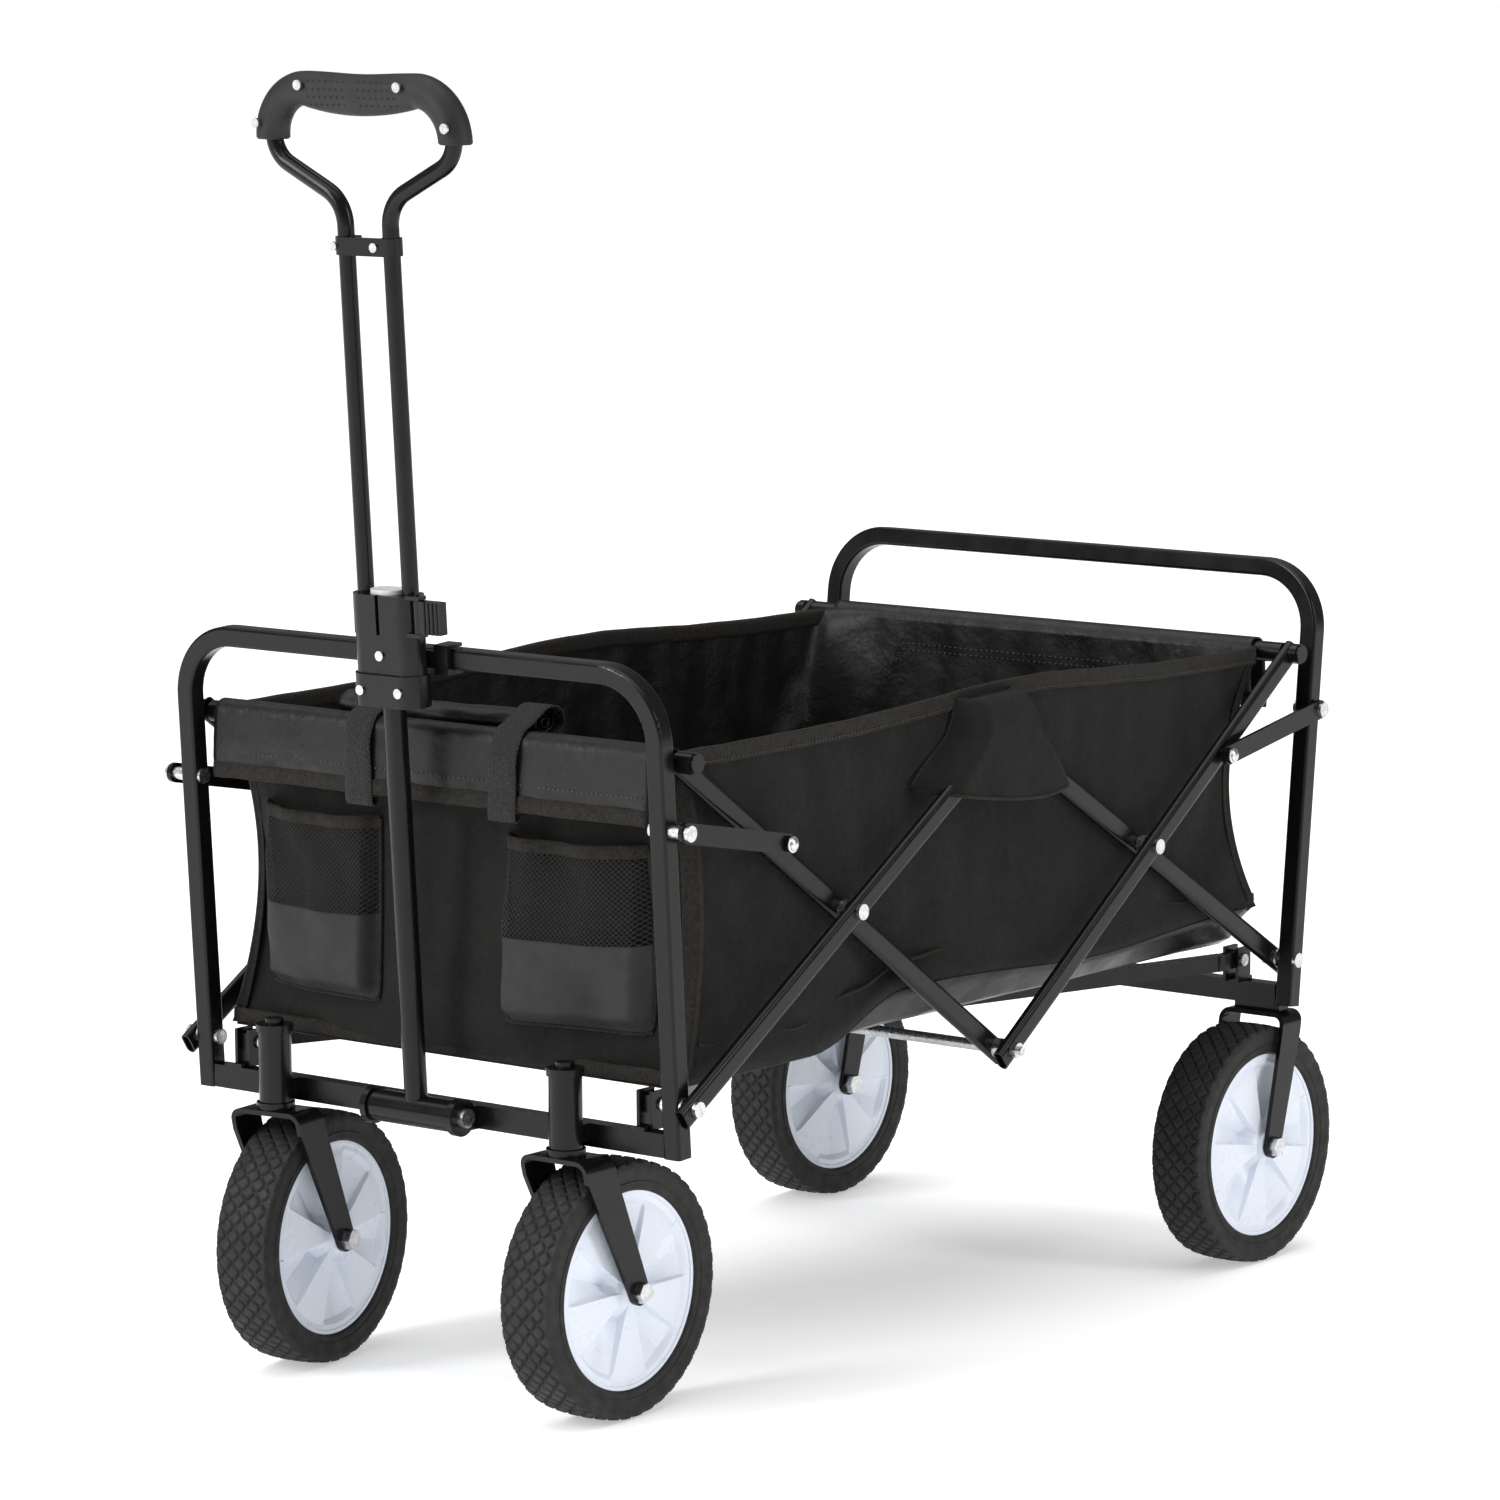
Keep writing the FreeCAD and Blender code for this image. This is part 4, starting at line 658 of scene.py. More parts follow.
def loft(name, stations, profile, material, closed_profile=False, thickness=0.0):
    """Strip with a profile of (out, up) offsets along stations of (place, out, up)."""
    vertices, uvs = [], []
    run = 0.0
    before = None
    for place, out, up in stations:
        if before is not None:
            run += (place - before).length
        before = place
        girth = 0.0
        last = None
        for offset in profile:
            if last is not None:
                girth += math.dist(offset, last)
            last = offset
            vertices.append(place + out * offset[0] + up * offset[1])
            uvs.append((run, girth))
    faces = grid_faces(len(stations), len(profile), wrap_columns=closed_profile)
    if closed_profile:
        faces.append(tuple(range(len(profile))))
        faces.append(tuple(range((len(stations) - 1) * len(profile), len(stations) * len(profile))))
    obj = new_object(name, vertices, faces, material, uvs)
    if thickness:
        solid = obj.modifiers.new("thickness", "SOLIDIFY")
        solid.thickness = thickness
        solid.offset = 0.0
        if isinstance(material, (list, tuple)) and len(material) > 1:
            solid.material_offset = 1
        apply_modifiers(obj)
    return obj


def stitches(name, points, outward, pitch=4.2 * MM, length=2.9 * MM, radius=0.45 * MM):
    """A row of thread dashes along points, standing just proud of the cloth."""
    lengths = [0.0]
    for a, b in zip(points, points[1:]):
        lengths.append(lengths[-1] + (b - a).length)
    vertices, faces = [], []

    def along(distance):
        for index in range(1, len(points)):
            if distance <= lengths[index]:
                share = (distance - lengths[index - 1]) / (lengths[index] - lengths[index - 1])
                return points[index - 1].lerp(points[index], share)
        return points[-1]

    for number in range(int(lengths[-1] / pitch)):
        start = along(number * pitch)
        end = along(number * pitch + length)
        direction = (end - start).normalized()
        side = direction.cross(outward).normalized()
        centre = (start + end) / 2 + outward * radius * 0.5
        first = len(vertices)
        vertices += [start, end, centre + side * radius, centre - side * radius,
                     centre + outward * radius, centre - outward * radius]
        for a, b in ((2, 4), (4, 3), (3, 5), (5, 2)):
            faces.append((first, first + a, first + b))
            faces.append((first + 1, first + b, first + a))
    return new_object(name, vertices, faces, MATERIAL["thread"])


BIND_PROFILE = [(x * MM, z * MM) for x, z in (
    (1.5, -11), (1.9, -8), (1.9, -3), (1.6, 0.2), (0.7, 1.5),
    (-0.7, 1.5), (-2.6, 0.2), (-3.0, -3), (-3.0, -8), (-2.6, -11),
)]


def make_side_bindings():
    steps = 90
    for side, name in ((-1, "left"), (1, "right")):
        stations = []
        for step in range(steps + 1):
            y = FRONT_Y + 4 * MM + (REAR_Y - FRONT_Y - 8 * MM) * step / steps
            wave = 0.7 * MM * noise.noise(Vector((side * 3.1, y * 31, 0)))
            place = Vector((side * SIDE_X, y, rim_height(y) + wave))
            stations.append((place, Vector((side, 0, 0)), Vector((0, 0, 1))))
        finish_soft(loft(f"{name}_rim_binding", stations, BIND_PROFILE, MATERIAL["tape"], True))
        line = [place + out * 2.2 * MM - up * (8.5 * MM) for place, out, up in stations]
        sideways = Vector((side, 0, 0))
        finish_soft(stitches(f"{name}_rim_stitch_outer", line, sideways, 3.6 * MM, 2.5 * MM, 0.4 * MM))


def make_corner_tapes():
    """Folded tape over each upright corner seam, lying on both panels."""
    for along_x, end, name in (
        (-1, -1, "front_left"), (1, -1, "front_right"), (1, 1, "rear_right"), (-1, 1, "rear_left"),
    ):
        side = "right" if along_x == 1 else "left"
        face = "front" if end == -1 else "rear"
        face_turn = along_x * (1 if face == "front" else -1)
        side_turn = end * along_x

        def point(u, v):
            down = 0.03 + 0.965 * v
            if u < 0.5:
                place = wall_point(face, face_turn * (0.955 + 0.09 * u), down)
                out = Vector((0.35 * along_x, end, 0))
            else:
                place = wall_point(side, side_turn * (1.0 - 0.036 * (u - 0.5)), down)
                out = Vector((along_x, 0.25 * end, 0))
            bead = 1.4 * MM * math.exp(-((u - 0.5) / 0.12) ** 2)
            return place + out.normalized() * (0.9 * MM + bead)

        tape = sheet_grid(
            f"{name}_corner_tape", point, np.linspace(0, 1, 15), np.linspace(0, 1, 42),
            (16 * MM, TUB_TOP - FLOOR_Z), MATERIAL["tape"], 0.9 * MM, 0.0,
        )
        finish_soft(tape)


def make_bottom_tapes():
    profile = [
        (0.2 * MM, 0.0), (1.8 * MM, 0.5 * MM), (2.4 * MM, 5 * MM), (2.0 * MM, 10 * MM),
        (0.4 * MM, 10.5 * MM),
    ]
    for panel, name in (("front", "front"), ("rear", "rear")):
        end = -1 if panel == "front" else 1
        stations = []
        for step in range(61):
            s = -0.985 + 1.97 * step / 60
            place = wall_point(panel, s, 0.995)
            wave = 0.9 * MM * noise.noise(Vector((s * 9, end, 2)))
            place = place + Vector((0, end * 0.6 * MM, wave))
            stations.append((place, Vector((0, end, 0)), Vector((0, 0, 1))))
        finish_soft(loft(f"{name}_bottom_tape", stations, profile, MATERIAL["tape"], True))
    seam = [
        (-1.5 * MM, -1.0 * MM), (0.6 * MM, -1.2 * MM), (1.6 * MM, 0.0), (0.6 * MM, 1.2 * MM),
        (-1.5 * MM, 1.0 * MM),
    ]
    for panel, name in (("right", "right"), ("left", "left")):
        side = 1 if panel == "right" else -1
        stations = []
        for step in range(101):
            s = -0.97 + 1.94 * step / 100
            wave = 0.045 * noise.noise(Vector((s * 2.3, side, 5)))
            wave += 0.03 * noise.noise(Vector((s * 7, side, 9)))
            place = wall_point(panel, s, 0.885 + wave)
            stations.append((place, Vector((side, 0, 0)), Vector((0, 0, 1))))
        finish_soft(loft(f"{name}_bottom_seam", stations, seam, MATERIAL["tape"], True))


tub_wall = make_tub_wall()
make_tub_floor()
make_side_bindings()
make_corner_tapes()
make_bottom_tapes()


# ------------------------------------------------------------------- hems

def tube_line(node):
    """Centre (y, z) of a cross tube."""
    centre = middle(node)
    return centre.y, centre.z


HEM_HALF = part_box("front_hem")[1].x
HEM_R = 9.6 * MM
HEM_DROP = 36 * MM


def hem_profile(front):
    """(y, z) offsets from the tube: up the inside, over the top and down the outside."""
    points = [(HEM_R - 1.5 * MM, -30 * MM), (HEM_R - 0.4 * MM, -20 * MM), (HEM_R, -10 * MM)]
    for step in range(13):
        angle = math.pi * step / 12
        points.append((HEM_R * math.cos(angle), HEM_R * math.sin(angle)))
    drops = 10
    for step in range(1, drops + 1):
        share = step / drops
        points.append((-HEM_R - 1.2 * MM * math.sin(math.pi * share * 0.8), -HEM_DROP * share))
    return [(-y if not front else y, z) for y, z in points]


def make_hem(front):
    name = "front" if front else "rear"
    node = f"{name}_hem"
    y0, z0 = tube_line(node)
    profile = hem_profile(front)
    out = -1 if front else 1
    steps = 110
    vertices, uvs = [], []
    for step in range(steps + 1):
        x = -HEM_HALF + 2 * HEM_HALF * step / steps
        girth = 0.0
        last = None
        for place in profile:
            if last is not None:
                girth += math.dist(place, last)
            last = place
            y, z = place
            free = smoothstep(-z, 4 * MM, HEM_DROP) if y * out > 0 else 0.0
            spot = Vector((x * 26, z * 34, 3.0 if front else 8.0))
            dent = (1.5 * noise.noise(spot) + 1.3 * noise.noise(spot * 2.7)) * MM * free
            edge_wave = 1.4 * MM * noise.noise(Vector((x * 12, 7, out))) * free
            vertices.append(Vector((x, y0 + y + out * (dent + 0.5 * MM * free), z0 + z + edge_wave)))
            uvs.append((x + 0.5, girth))
    faces = grid_faces(steps + 1, len(profile))
    obj = new_object(f"{name}_hem_band", vertices, faces, [MATERIAL["lining"], MATERIAL["cloth"]], uvs)
    solid = obj.modifiers.new("thickness", "SOLIDIFY")
    solid.thickness = 1.0 * MM
    solid.offset = 0.0
    apply_modifiers(obj)
    body = f"{name}_tub"
    finish_soft(obj, body, squash=False)
    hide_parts(node)
    tape_profile = [
        (0.0, 0.0), (1.5 * MM, 0.5 * MM), (2.0 * MM, 5.5 * MM), (1.5 * MM, 11 * MM),
        (0.0, 11.5 * MM), (-1.6 * MM, 11 * MM), (-1.9 * MM, 5.5 * MM), (-1.6 * MM, 0.5 * MM),
    ]
    stations, line = [], []
    for step in range(steps + 1):
        x = -HEM_HALF + 2 * HEM_HALF * step / steps
        spot = Vector((x * 26, -HEM_DROP * 34, 3.0 if front else 8.0))
        dent = (1.5 * noise.noise(spot) + 1.3 * noise.noise(spot * 2.7)) * MM
        drop = 1.4 * MM * noise.noise(Vector((x * 12, 7, out)))
        y = y0 + out * (HEM_R + 1.2 * MM + dent)
        z = z0 - HEM_DROP - 8 * MM + drop
        stations.append((Vector((x, y, z)), Vector((0, out, 0)), Vector((0, 0, 1))))
        line.append(Vector((x, y + out * 0.9 * MM, z + 19 * MM)))
    finish_soft(loft(f"{name}_hem_tape", stations, tape_profile, MATERIAL["tape"], True), body, squash=False)
    finish_soft(stitches(f"{name}_hem_stitch", line, Vector((0, out, 0))), body, squash=False)


make_hem(True)
make_hem(False)


# ------------------------------------------- rear panel's stitching inside

def make_inner_stitches():
    for number, drop in enumerate((22 * MM, 27 * MM)):
        line = []
        for step in range(80):
            x = -SIDE_X * 0.94 + 2 * SIDE_X * 0.94 * step / 79
            line.append(Vector((x, REAR_Y - CLOTH_THICK - 1.2 * MM, TUB_TOP - drop - 1.0 * MM)))
        finish_soft(stitches(f"rear_inner_stitch_{number}", line, Vector((0, -1, 0)), 5.0 * MM, 3.4 * MM))


make_inner_stitches()


# --------------------------------------------------- pockets on the front

def surface_finder(obj):
    """Ray caster onto a piece's own mesh at rest."""
    work = bmesh.new()
    work.from_mesh(obj.data)
    tree = BVHTree.FromBMesh(work)
    work.free()
    return tree


WALL_TREE = surface_finder(tub_wall)


def front_face(x, z):
    """Y of the front panel's outer face at a place."""
    hit = WALL_TREE.ray_cast(Vector((x, FRONT_Y - 0.1, z)), Vector((0, 1, 0)))
    return hit[0].y if hit[0] is not None else FRONT_Y


POCKET_LOW_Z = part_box("front_pockets")[0].z + 14 * MM
POCKET_HIGH_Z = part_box("front_pockets")[1].z - 7 * MM
POCKET_IN_X = 59 * MM
POCKET_OUT_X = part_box("front_pockets")[1].x
POCKET_SPLIT = 0.47
POCKET_DEEP = 15 * MM


def pocket_point(side, u, v):
    """Pouch surface: u from the inner to the outer edge, v from the bottom to the top."""
    x = side * (POCKET_IN_X + (POCKET_OUT_X - POCKET_IN_X) * u)
    sag = 2.5 * MM * math.sin(math.pi * u) * v
    z = POCKET_LOW_Z + (POCKET_HIGH_Z - POCKET_LOW_Z) * v - sag
    wide = smoothstep(min(u, 1 - u), 0.0, 0.085)
    tall = smoothstep(v, 0.0, 0.10) * (0.55 + 0.45 * (1 - smoothstep(v, 0.35, 1.0)))
    ripple = 0.0
    if v > POCKET_SPLIT - 0.05:
        gather = smoothstep(v, POCKET_SPLIT - 0.05, 0.8)
        ripple = gather * 2.2 * MM * math.sin(u * 14 + 2.4 * math.sin(v * 5 + side)) * wide
    dent = 2.6 * MM * noise.noise(Vector((x * 25, z * 25, 4.0)))
    dent += 1.3 * MM * noise.noise(Vector((x * 70, z * 55, 8.0)))
    deep = (POCKET_DEEP * tall + ripple + dent * tall) * wide
    return Vector((x, front_face(x, z) - 1.2 * MM - deep, z))


def make_net(name, side, low, high):
    """Diamond net of flat threads over the upper part of a pouch."""
    width = POCKET_OUT_X - POCKET_IN_X
    height = (POCKET_HIGH_Z - POCKET_LOW_Z) * (high - low)
    cell = 3.6 * MM
    half_thread = 0.42 * MM
    steps = 46
    vertices, faces = [], []
    count = int((width + height) / cell)
    for slope in (1, -1):
        for number in range(1, count):
            run = number * cell
            points = []
            for step in range(steps + 1):
                up = height * step / steps
                across = run - height + up if slope == 1 else run - up
                if 0 <= across <= width:
                    points.append((across / width, low + (high - low) * up / height))
            if len(points) < 2:
                continue
            first = len(vertices)
            for u, v in points:
                centre = pocket_point(side, u, v)
                lift = 0.25 * MM * slope
                for shift in (-1, 1):
                    offset = Vector((shift * half_thread, lift - 0.2 * MM, 0))
                    vertices.append(centre + offset)
            for index in range(len(points) - 1):
                a = first + 2 * index
                faces.append((a, a + 1, a + 3, a + 2))
    obj = new_object(name, vertices, faces, MATERIAL["webbing"])
    solid = obj.modifiers.new("thickness", "SOLIDIFY")
    solid.thickness = 0.5 * MM
    solid.offset = 0.0
    apply_modifiers(obj)
    return obj


def flat_bead(half_wide, half_tall, crown):
    """Section of a narrow tape: flat behind, slightly crowned in front."""
    return [
        (-half_wide, -half_tall), (half_wide, -half_tall), (crown, 0), (half_wide, half_tall),
        (-half_wide, half_tall),
    ]


def make_pockets():
    band_profile = flat_bead(0.9 * MM, 4.5 * MM, 1.3 * MM)
    bead_r = 1.3 * MM
    pipe = [(bead_r * math.cos(a), bead_r * math.sin(a)) for a in np.linspace(0, 2 * math.pi, 8)[:-1]]
    corner = 0.06
    quarter = np.linspace(0, math.pi / 2, 6)[1:]
    for side, name in ((-1, "left"), (1, "right")):
        solid_cloth = sheet_grid(
            f"{name}_pocket_pouch", lambda u, v: pocket_point(side, u, v),
            np.linspace(0, 1, 60), np.linspace(0, POCKET_SPLIT, 34),
            (POCKET_OUT_X - POCKET_IN_X, POCKET_HIGH_Z - POCKET_LOW_Z), MATERIAL["pouch"], 0.9 * MM, 0.0,
        )
        finish_soft(solid_cloth)
        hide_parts("front_pockets")
        net = finish_soft(make_net(f"{name}_pocket_net", side, POCKET_SPLIT, 0.955))
        stations = []
        for step in range(61):
            place = pocket_point(side, step / 60, 0.965)
            stations.append((place - Vector((0, 0.8 * MM, 0)), Vector((0, -1, 0)), Vector((0, 0, 1))))
        band = finish_soft(loft(f"{name}_pocket_band", stations, band_profile, MATERIAL["tape"], True))
        route = [(0.0, v) for v in np.linspace(0.98, 0.06, 30)]
        route += [(corner * (1 - math.cos(a)), corner * (1 - math.sin(a))) for a in quarter]
        route += [(u, 0.0) for u in np.linspace(0.08, 0.92, 24)]
        route += [(1 - corner * (1 - math.sin(a)), corner * (1 - math.cos(a))) for a in quarter]
        route += [(1.0, v) for v in np.linspace(0.08, 0.98, 30)]
        stations = []
        for index, (u, v) in enumerate(route):
            u2, v2 = route[min(index + 1, len(route) - 1)]
            u1, v1 = route[max(index - 1, 0)]
            run = Vector(((u2 - u1) * side, 0, v2 - v1)).normalized()
            across = run.cross(Vector((0, -1, 0)))
            place = pocket_point(side, min(1, max(0, u)), v)
            stations.append((place + Vector((0, -0.6 * MM, 0)), across, Vector((0, -1, 0))))
        piping = finish_soft(loft(f"{name}_pocket_piping", stations, pipe, MATERIAL["tape"], True))


make_pockets()


# ------------------------------------------- rolled cover and its straps

HEM_Y, HEM_Z = tube_line("front_hem")
ROLL_R = 9.5 * MM
ROLL_Y = HEM_Y + HEM_R + ROLL_R + 2.5 * MM
ROLL_Z = HEM_Z + 13 * MM
ROLL_FROM, ROLL_TO = -99 * MM, 79 * MM
ROLL_TURNS = 2.7


def make_roll():
    """Cloth rolled up along X behind the front hem, as a spiral with wrinkles."""
    across, turn_steps = 70, 78
    vertices, uvs = [], []
    for step in range(across + 1):
        x = ROLL_FROM + (ROLL_TO - ROLL_FROM) * step / across
        sag = -1.6 * MM * math.sin(math.pi * step / across)
        for part in range(turn_steps + 1):
            share = part / turn_steps
            angle = 2 * math.pi * ROLL_TURNS * share - 0.6
            radius = 1.8 * MM + (ROLL_R - 1.8 * MM) * share
            spot = Vector((x * 45, 2 * math.cos(angle), 2 * math.sin(angle)))
            radius += 0.9 * MM * share * noise.noise(spot)
            flat = 1.0 + 0.16 * math.cos(angle) ** 2
            vertices.append(Vector((
                x + 1.2 * MM * math.sin(9 * share), ROLL_Y + radius * flat * math.cos(angle),
                ROLL_Z + sag + radius * 0.93 * math.sin(angle),
            )))
            uvs.append((x + 0.5, share * 0.12))
    faces = grid_faces(across + 1, turn_steps + 1)
    obj = new_object("rolled_cover", vertices, faces, MATERIAL["lining"], uvs)
    solid = obj.modifiers.new("thickness", "SOLIDIFY")
    solid.thickness = 0.8 * MM
    solid.offset = 0.0
    apply_modifiers(obj)
    finish_soft(obj, squash=False)


def strap_route(x):
    """Centre points of a strap looped round the hem and the roll, from the hem's foot."""
    front = HEM_Y - HEM_R - 3.6 * MM
    foot = HEM_Z - HEM_DROP - 13 * MM
    points = [
        Vector((x, front + 6.5 * MM, foot + 2.5 * MM)), Vector((x, front + 3.0 * MM, foot - 1.5 * MM)),
        Vector((x, front - 0.6 * MM, foot + 1.0 * MM)), Vector((x, front - 1.0 * MM, HEM_Z - 26 * MM)),
        Vector((x, front - 1.2 * MM, HEM_Z - 6 * MM)), Vector((x, HEM_Y - 7.5 * MM, HEM_Z + 9.5 * MM)),
        Vector((x, HEM_Y + 1.0 * MM, HEM_Z + 14.0 * MM)),
    ]
    for angle in np.linspace(math.radians(125), math.radians(-70), 10):
        y = ROLL_Y + (ROLL_R * 1.2 + 1.6 * MM) * math.cos(angle)
        points.append(Vector((x, y, ROLL_Z + (ROLL_R + 1.8 * MM) * math.sin(angle))))
    points.append(Vector((x, HEM_Y + HEM_R + 2.2 * MM, HEM_Z - 6 * MM)))
    points.append(Vector((x, HEM_Y + HEM_R + 1.8 * MM, HEM_Z - 20 * MM)))
    return points


def smooth_route(points, per_span):
    """Catmull-Rom points through a given route."""
    made = []
    padded = [points[0] * 2 - points[1]] + points + [points[-1] * 2 - points[-2]]
    for a, b, c, d in zip(padded, padded[1:], padded[2:], padded[3:]):
        for step in range(per_span):
            q = step / per_span
            made.append(0.5 * (
                2 * b + (c - a) * q + (2 * a - 5 * b + 4 * c - d) * q * q + (3 * b - a - 3 * c + d) * q ** 3
            ))
    made.append(points[-1])
    return made


def make_straps():
    half = 12.5 * MM
    thick = 0.75 * MM
    edge = half - 0.6 * MM
    profile = [
        (-half, 0), (-edge, thick), (-half / 2, thick * 1.1), (0, thick * 1.15), (half / 2, thick * 1.1),
        (edge, thick), (half, 0), (edge, -thick), (0, -thick), (-edge, -thick),
    ]
    for name, x, lean in (("left", -59 * MM, -0.02), ("right", 73 * MM, 0.05)):
        route = smooth_route(strap_route(x), 5)
        stations = []
        for index, place in enumerate(route):
            ahead = route[min(index + 1, len(route) - 1)]
            behind = route[max(index - 1, 0)]
            run = (ahead - behind).normalized()
            out = run.cross(Vector((1, 0, 0)))
            shift = Vector((lean * (place.z - HEM_Z), 0, 0))
            stations.append((place + shift, Vector((1, 0, 0)), -out))
        strap = loft(f"{name}_cover_strap", stations, profile, MATERIAL["webbing"], True)
        finish_soft(strap, squash=False)


make_roll()
make_straps()


# ------------------------------------- flaps over the middle top joints

FLAP_OUT_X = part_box("mid_top_bolts")[1].x + 1.5 * MM


def flap_point(side, u, v):
    """Flap over the joint: u along the wagon, v from the rim down to its loose edge."""
    joint_y = middle("mid_top_bolts").y
    top_half = 30 * MM
    bottom_front, bottom_rear = -86 * MM, 76 * MM
    top_y = joint_y - 4 * MM - top_half + 2 * top_half * u
    low_y = joint_y + bottom_front + (bottom_rear - bottom_front) * u
    y = top_y + (low_y - top_y) * smoothstep(v, 0.0, 1.1) * 1.06
    rise = min(1.0, v / 0.3)
    over = smoothstep(u, 0.0, 0.15) * (1 - smoothstep(u, 0.87, 1.0))
    x = SIDE_X + 2.4 * MM + (FLAP_OUT_X - SIDE_X - 2.4 * MM) * math.sin(rise * math.pi / 2) * over
    drop = smoothstep(v, 0.12, 0.36) * 0.18 + max(0.0, v - 0.12) * 0.93
    lift = (20 * MM * (1 - u) ** 2 + 12 * MM * max(0.0, (u - 0.62) / 0.38) ** 2 + 3 * MM) * v
    top_z = rim_height(top_y) - 6 * MM
    z = top_z - 78 * MM * drop + lift
    spot = Vector((u * 3.2, v * 2.2, 6 + side))
    billow = 2.6 * MM * noise.noise(spot) * smoothstep(v, 0.2, 1.0)
    return Vector((side * (x + billow * over), y, z))


def make_flaps():
    edge_profile = flat_bead(0.9 * MM, 1.2 * MM, 1.1 * MM)
    for side, name in ((-1, "left"), (1, "right")):
        flap = sheet_grid(
            f"{name}_joint_flap", lambda u, v: flap_point(side, u, v),
            np.linspace(0, 1, 46), np.linspace(0, 1, 34), (0.16, 0.09), MATERIAL["cloth"], 1.1 * MM, 0.0,
        )
        finish_soft(flap)
        route = [(0.0, v) for v in np.linspace(0.12, 1, 18)]
        route += [(u, 1.0) for u in np.linspace(0.04, 0.96, 40)]
        route += [(1.0, v) for v in np.linspace(1, 0.12, 18)]
        stations = []
        for u, v in route:
            stations.append((flap_point(side, u, v), Vector((side, 0, 0)), Vector((0, 0, 1))))
        finish_soft(loft(f"{name}_flap_edge", stations, edge_profile, MATERIAL["tape"], True))


make_flaps()


# -------------------------------------------------------------------- grip

LEAN = math.radians(3.4)
GRIP_LOW, GRIP_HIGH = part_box("grip")
GRIP_SECTION = 11.6 * MM
GRIP_CROWN_Z = GRIP_HIGH.z - GRIP_SECTION - 1.0 * MM
GRIP_AROUND = 36


def grip_route():
    """(x, z) points along the grip's middle line, from one foot to the other."""
    half_width = 81 * MM
    turn_r = 33 * MM
    shoulder_z = GRIP_CROWN_Z - turn_r
    route = [(-half_width, z) for z in np.linspace(GRIP_LOW.z, shoulder_z, 10)[:-1]]
    for angle in np.linspace(math.pi, math.pi / 2, 18):
        x = -half_width + turn_r + turn_r * math.cos(angle)
        route.append((x, shoulder_z + turn_r * math.sin(angle)))
    route += [(x, GRIP_CROWN_Z) for x in np.linspace(-half_width + turn_r, 0, 24)[1:]]
    route += [(-x, z) for x, z in reversed(route[:-1])]
    return route


def grip_ring(route, index):
    """Points round the grip at one place: fatter below its middle, dipped on top."""
    x, z = route[index]
    x2, z2 = route[min(index + 1, len(route) - 1)]
    x1, z1 = route[max(index - 1, 0)]
    along = Vector((x2 - x1, 0, z2 - z1)).normalized()
    outward = Vector((-along.z, 0, along.x))
    dip = 1.6 * MM * math.exp(-(x / (30 * MM)) ** 2)
    belly = 6.5 * MM * max(0.0, 1 - (x / (52 * MM)) ** 2) if z > GRIP_CROWN_Z - 1 * MM else 0.0
    middle_y = (GRIP_LOW.y + GRIP_HIGH.y) / 2 + (GRIP_HIGH.z - GRIP_LOW.z) / 2 * math.tan(LEAN)
    place = Vector((x, middle_y - math.tan(LEAN) * (z - GRIP_LOW.z), z))
    ring = []
    for step in range(GRIP_AROUND):
        angle = 2 * math.pi * step / GRIP_AROUND
        c, s = math.cos(angle), math.sin(angle)
        seam = 0.35 * MM if abs(s) < 0.06 else 0.0
        reach = GRIP_SECTION * (1.0 - 0.02 * abs(s)) + (-belly * c if c < 0 else -dip * c) - seam
        ring.append(place + outward * reach * c + Vector((0, 1, 0)) * GRIP_SECTION * 0.99 * s)
    return ring


def close_grip_end(work, ring):
    """Flat foot with a hollow in it for the rod."""
    centre = sum((vertex.co for vertex in ring), Vector()) / GRIP_AROUND
    before = ring
    for share, lower in ((0.9, 1.2), (0.52, 1.2), (0.52, -14.0)):
        loop = []
        for vertex in ring:
            loop.append(work.verts.new(centre + (vertex.co - centre) * share - Vector((0, 0, lower * MM))))
        for a in range(GRIP_AROUND):
            b = (a + 1) % GRIP_AROUND
            work.faces.new((before[a], before[b], loop[b], loop[a]))
        before = loop
    work.faces.new(before)
    work.verts.ensure_lookup_table()


def make_grip():
    """Moulded grip: a fat bent tube with a belly for the fingers."""
    route = grip_route()
    vertices = [point for index in range(len(route)) for point in grip_ring(route, index)]
    faces = grid_faces(len(route), GRIP_AROUND, wrap_columns=True)
    obj = new_object("grip_shell", vertices, faces, MATERIAL["grip"])
    work = bmesh.new()
    work.from_mesh(obj.data)
    work.verts.ensure_lookup_table()
    for first in (0, (len(route) - 1) * GRIP_AROUND):
        close_grip_end(work, [work.verts[first + step] for step in range(GRIP_AROUND)])
    bmesh.ops.recalc_face_normals(work, faces=work.faces)
    work.to_mesh(obj.data)
    work.free()
    crisp(obj, 40)
    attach(obj, "handle_top")
    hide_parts("grip")
    make_grip_dots(surface_finder(obj))


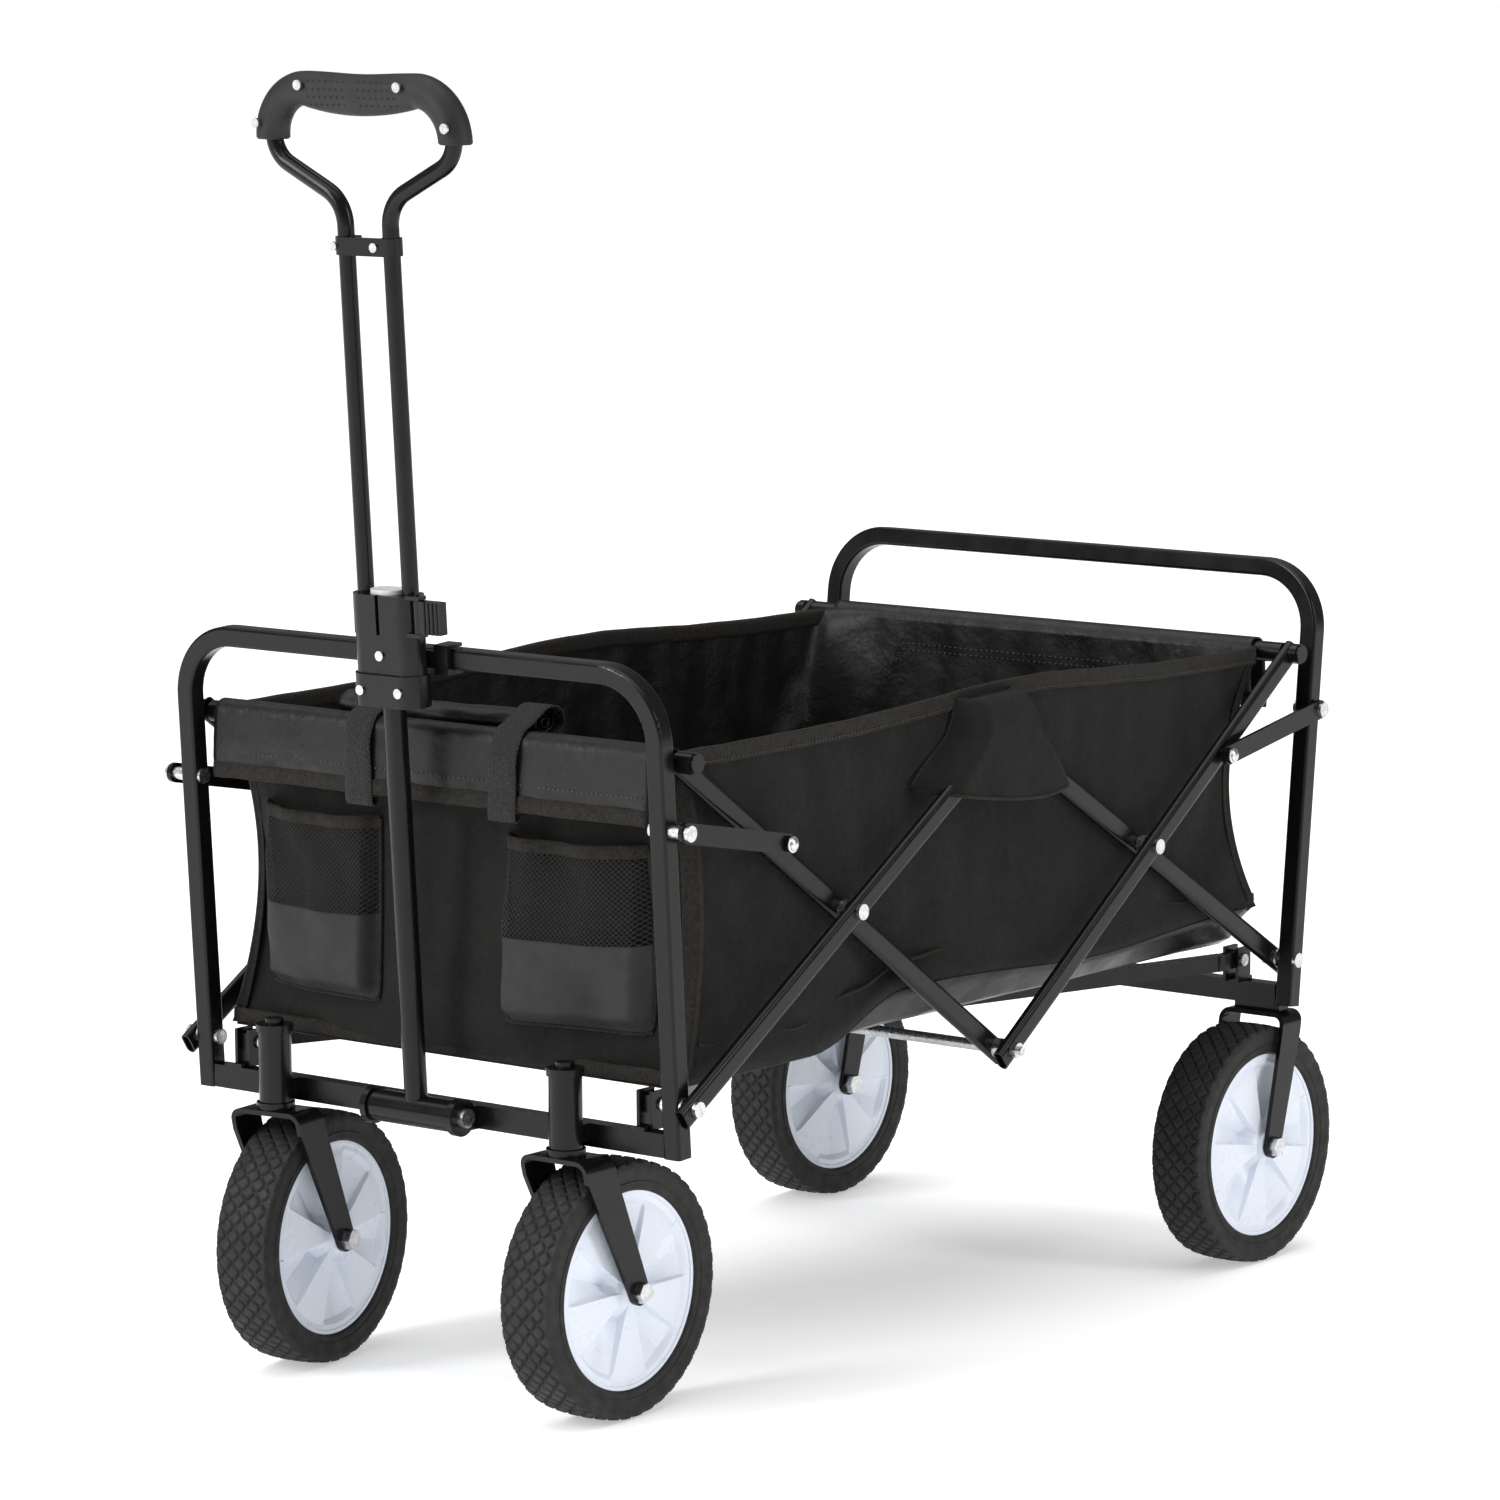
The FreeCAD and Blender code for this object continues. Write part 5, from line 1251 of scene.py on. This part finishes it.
def make_grip_dots(tree):
    """Two blocks of raised dots on the front of the grip."""
    dot_r = 0.95 * MM
    pitch = 5.2 * MM
    around = 8
    vertices, faces = [], []
    spots = [(side, column, row) for side in (-1, 1) for column in range(7) for row in range(4)]
    for side, column, row in spots:
        x = side * (7 * MM + pitch * column)
        z = GRIP_CROWN_Z + 5.0 * MM - pitch * row
        hit = tree.ray_cast(Vector((x, GRIP_LOW.y - 0.05, z)), Vector((0, 1, 0)))
        if hit[0] is None:
            continue
        first = len(vertices)
        for ring_r, lift in ((dot_r, -0.1 * MM), (dot_r * 0.75, 0.45 * MM), (dot_r * 0.3, 0.7 * MM)):
            for step in range(around):
                angle = 2 * math.pi * step / around
                vertices.append(Vector((
                    x + ring_r * math.cos(angle), hit[0].y - lift, z + ring_r * math.sin(angle),
                )))
        for ring in range(2):
            for step in range(around):
                a = first + around * ring + step
                b = first + around * ring + (step + 1) % around
                faces.append((a, b, b + around, a + around))
        faces.append(tuple(first + 2 * around + step for step in range(around)))
    dots = new_object("grip_dots", vertices, faces, MATERIAL["grip"])
    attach(dots, "handle_top")


make_grip()


# ---------------------------------------------------- bolts of the stay links

def make_link_bolts():
    """Domed bolt heads where the stay links meet the cross tubes."""
    for end in ("front", "rear"):
        low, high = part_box(f"{end}_links")
        pivot = JOINTS[f"{end}_link_pivot"]["pos_m"]
        y = low.y + high.y - pivot[1]
        z = low.z + high.z - pivot[2]
        for side, name in ((-1, "left"), (1, "right")):
            around = 20
            rings = ((5.6, 0.0), (5.6, 0.9), (4.4, 1.3), (4.2, 2.2), (3.0, 3.1), (0.9, 3.5))
            vertices = []
            for radius, out in rings:
                for step in range(around):
                    angle = 2 * math.pi * step / around
                    vertices.append(Vector((
                        side * (high.x + (out - 0.3) * MM), y + radius * MM * math.cos(angle),
                        z + radius * MM * math.sin(angle),
                    )))
            faces = grid_faces(len(rings), around, wrap_columns=True)
            faces.append(tuple(range(around * (len(rings) - 1), around * len(rings))))
            head = new_object(f"{end}_{name}_link_bolt", vertices, faces, MATERIAL["zinc"])
            crisp(head, 35)
            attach(head, f"{end}_link")


make_link_bolts()


# ----------------------------------------------- carried-over CAD materials

CAD_FINISH = {
    "black_frame": "frame",
    "zinc_bolt": "zinc",
    "black_plastic": "plastic",
    "pale_plastic": "pale",
    "white_plastic": "white",
    "tyre_rubber": "rubber",
    "black_fabric": "cloth",
}


def dress_cad_nodes():
    slots = {part["node"]: part["material_slot"] for part in frame["record"]["subparts"]}
    for name, obj in frame["nodes"].items():
        finish = MATERIAL[CAD_FINISH[slots[name]]]
        if name == "grip":
            finish = MATERIAL["grip"]
        for slot in obj.material_slots:
            slot.material = finish
        if not obj.material_slots:
            obj.data.materials.append(finish)


dress_cad_nodes()


# ------------------------------------------------- floor, light and camera

def make_floor():
    size = 14.0
    mesh = bpy.data.meshes.new("studio_floor")
    corners = [(-size, -size, 0), (size, -size, 0), (size, size, 0), (-size, size, 0)]
    mesh.from_pydata(corners, [], [(0, 1, 2, 3)])
    floor = bpy.data.objects.new("studio_floor", mesh)
    scene.collection.objects.link(floor)
    pale = Finish("studio_white", (0.93, 0.93, 0.93), 0.6, Specular_IOR_Level=0.1)
    pale.shader.inputs["Emission Color"].default_value = (1.0, 1.0, 1.0, 1.0)
    pale.shader.inputs["Emission Strength"].default_value = 0.42
    mesh.materials.append(pale.material)


def area_light(name, place, target, width, height, power):
    light = bpy.data.lights.new(name, "AREA")
    light.shape = "RECTANGLE"
    light.size = width
    light.size_y = height
    light.energy = power
    obj = bpy.data.objects.new(name, light)
    obj.location = place
    obj.rotation_mode = "QUATERNION"
    obj.rotation_quaternion = (Vector(target) - Vector(place)).to_track_quat("-Z", "Y")
    scene.collection.objects.link(obj)


ROOM_LIGHT = 0.2


def make_lights():
    world = bpy.data.worlds.new("studio")
    world.use_nodes = True
    background = world.node_tree.nodes["Background"]
    background.inputs["Color"].default_value = (1.0, 1.0, 1.0, 1.0)
    rays = world.node_tree.nodes.new("ShaderNodeLightPath")
    strength = world.node_tree.nodes.new("ShaderNodeMapRange")
    strength.inputs["To Min"].default_value = ROOM_LIGHT
    strength.inputs["To Max"].default_value = 1.0
    world.node_tree.links.new(rays.outputs["Is Camera Ray"], strength.inputs["Value"])
    world.node_tree.links.new(strength.outputs["Result"], background.inputs["Strength"])
    scene.world = world
    centre = (0.0, 0.0, 0.35)
    area_light("front_softbox", (-1.6, -4.0, 2.4), centre, 1.2, 2.4, 120)
    area_light("right_softbox", (4.2, 0.8, 2.0), centre, 0.8, 2.4, 60)
    sun = bpy.data.lights.new("ceiling_light", "SUN")
    sun.energy = 2.3
    sun.angle = math.radians(75)
    ceiling = bpy.data.objects.new("ceiling_light", sun)
    ceiling.rotation_euler = (math.radians(8), math.radians(-6), 0)
    scene.collection.objects.link(ceiling)


CAMERA_PLACE = Vector((2.856, -3.544, 1.063))
CAMERA_TARGET = Vector((-0.0071, 0.007, 0.4046))
CAMERA_ROLL = math.radians(-0.392)
CAMERA_LENS = 153.5


def make_camera():
    data = bpy.data.cameras.new("camera")
    data.sensor_width = 36.0
    data.lens = CAMERA_LENS
    camera = bpy.data.objects.new("camera", data)
    scene.collection.objects.link(camera)
    forward = (CAMERA_TARGET - CAMERA_PLACE).normalized()
    right = forward.cross(Vector((0, 0, 1))).normalized()
    up = right.cross(forward)
    rolled_right = right * math.cos(CAMERA_ROLL) + up * math.sin(CAMERA_ROLL)
    rolled_up = up * math.cos(CAMERA_ROLL) - right * math.sin(CAMERA_ROLL)
    basis = Matrix((rolled_right, rolled_up, -forward)).transposed().to_4x4()
    camera.matrix_world = Matrix.Translation(CAMERA_PLACE) @ basis
    scene.camera = camera


make_floor()
make_lights()
make_camera()
scene.view_settings.view_transform = "Standard"
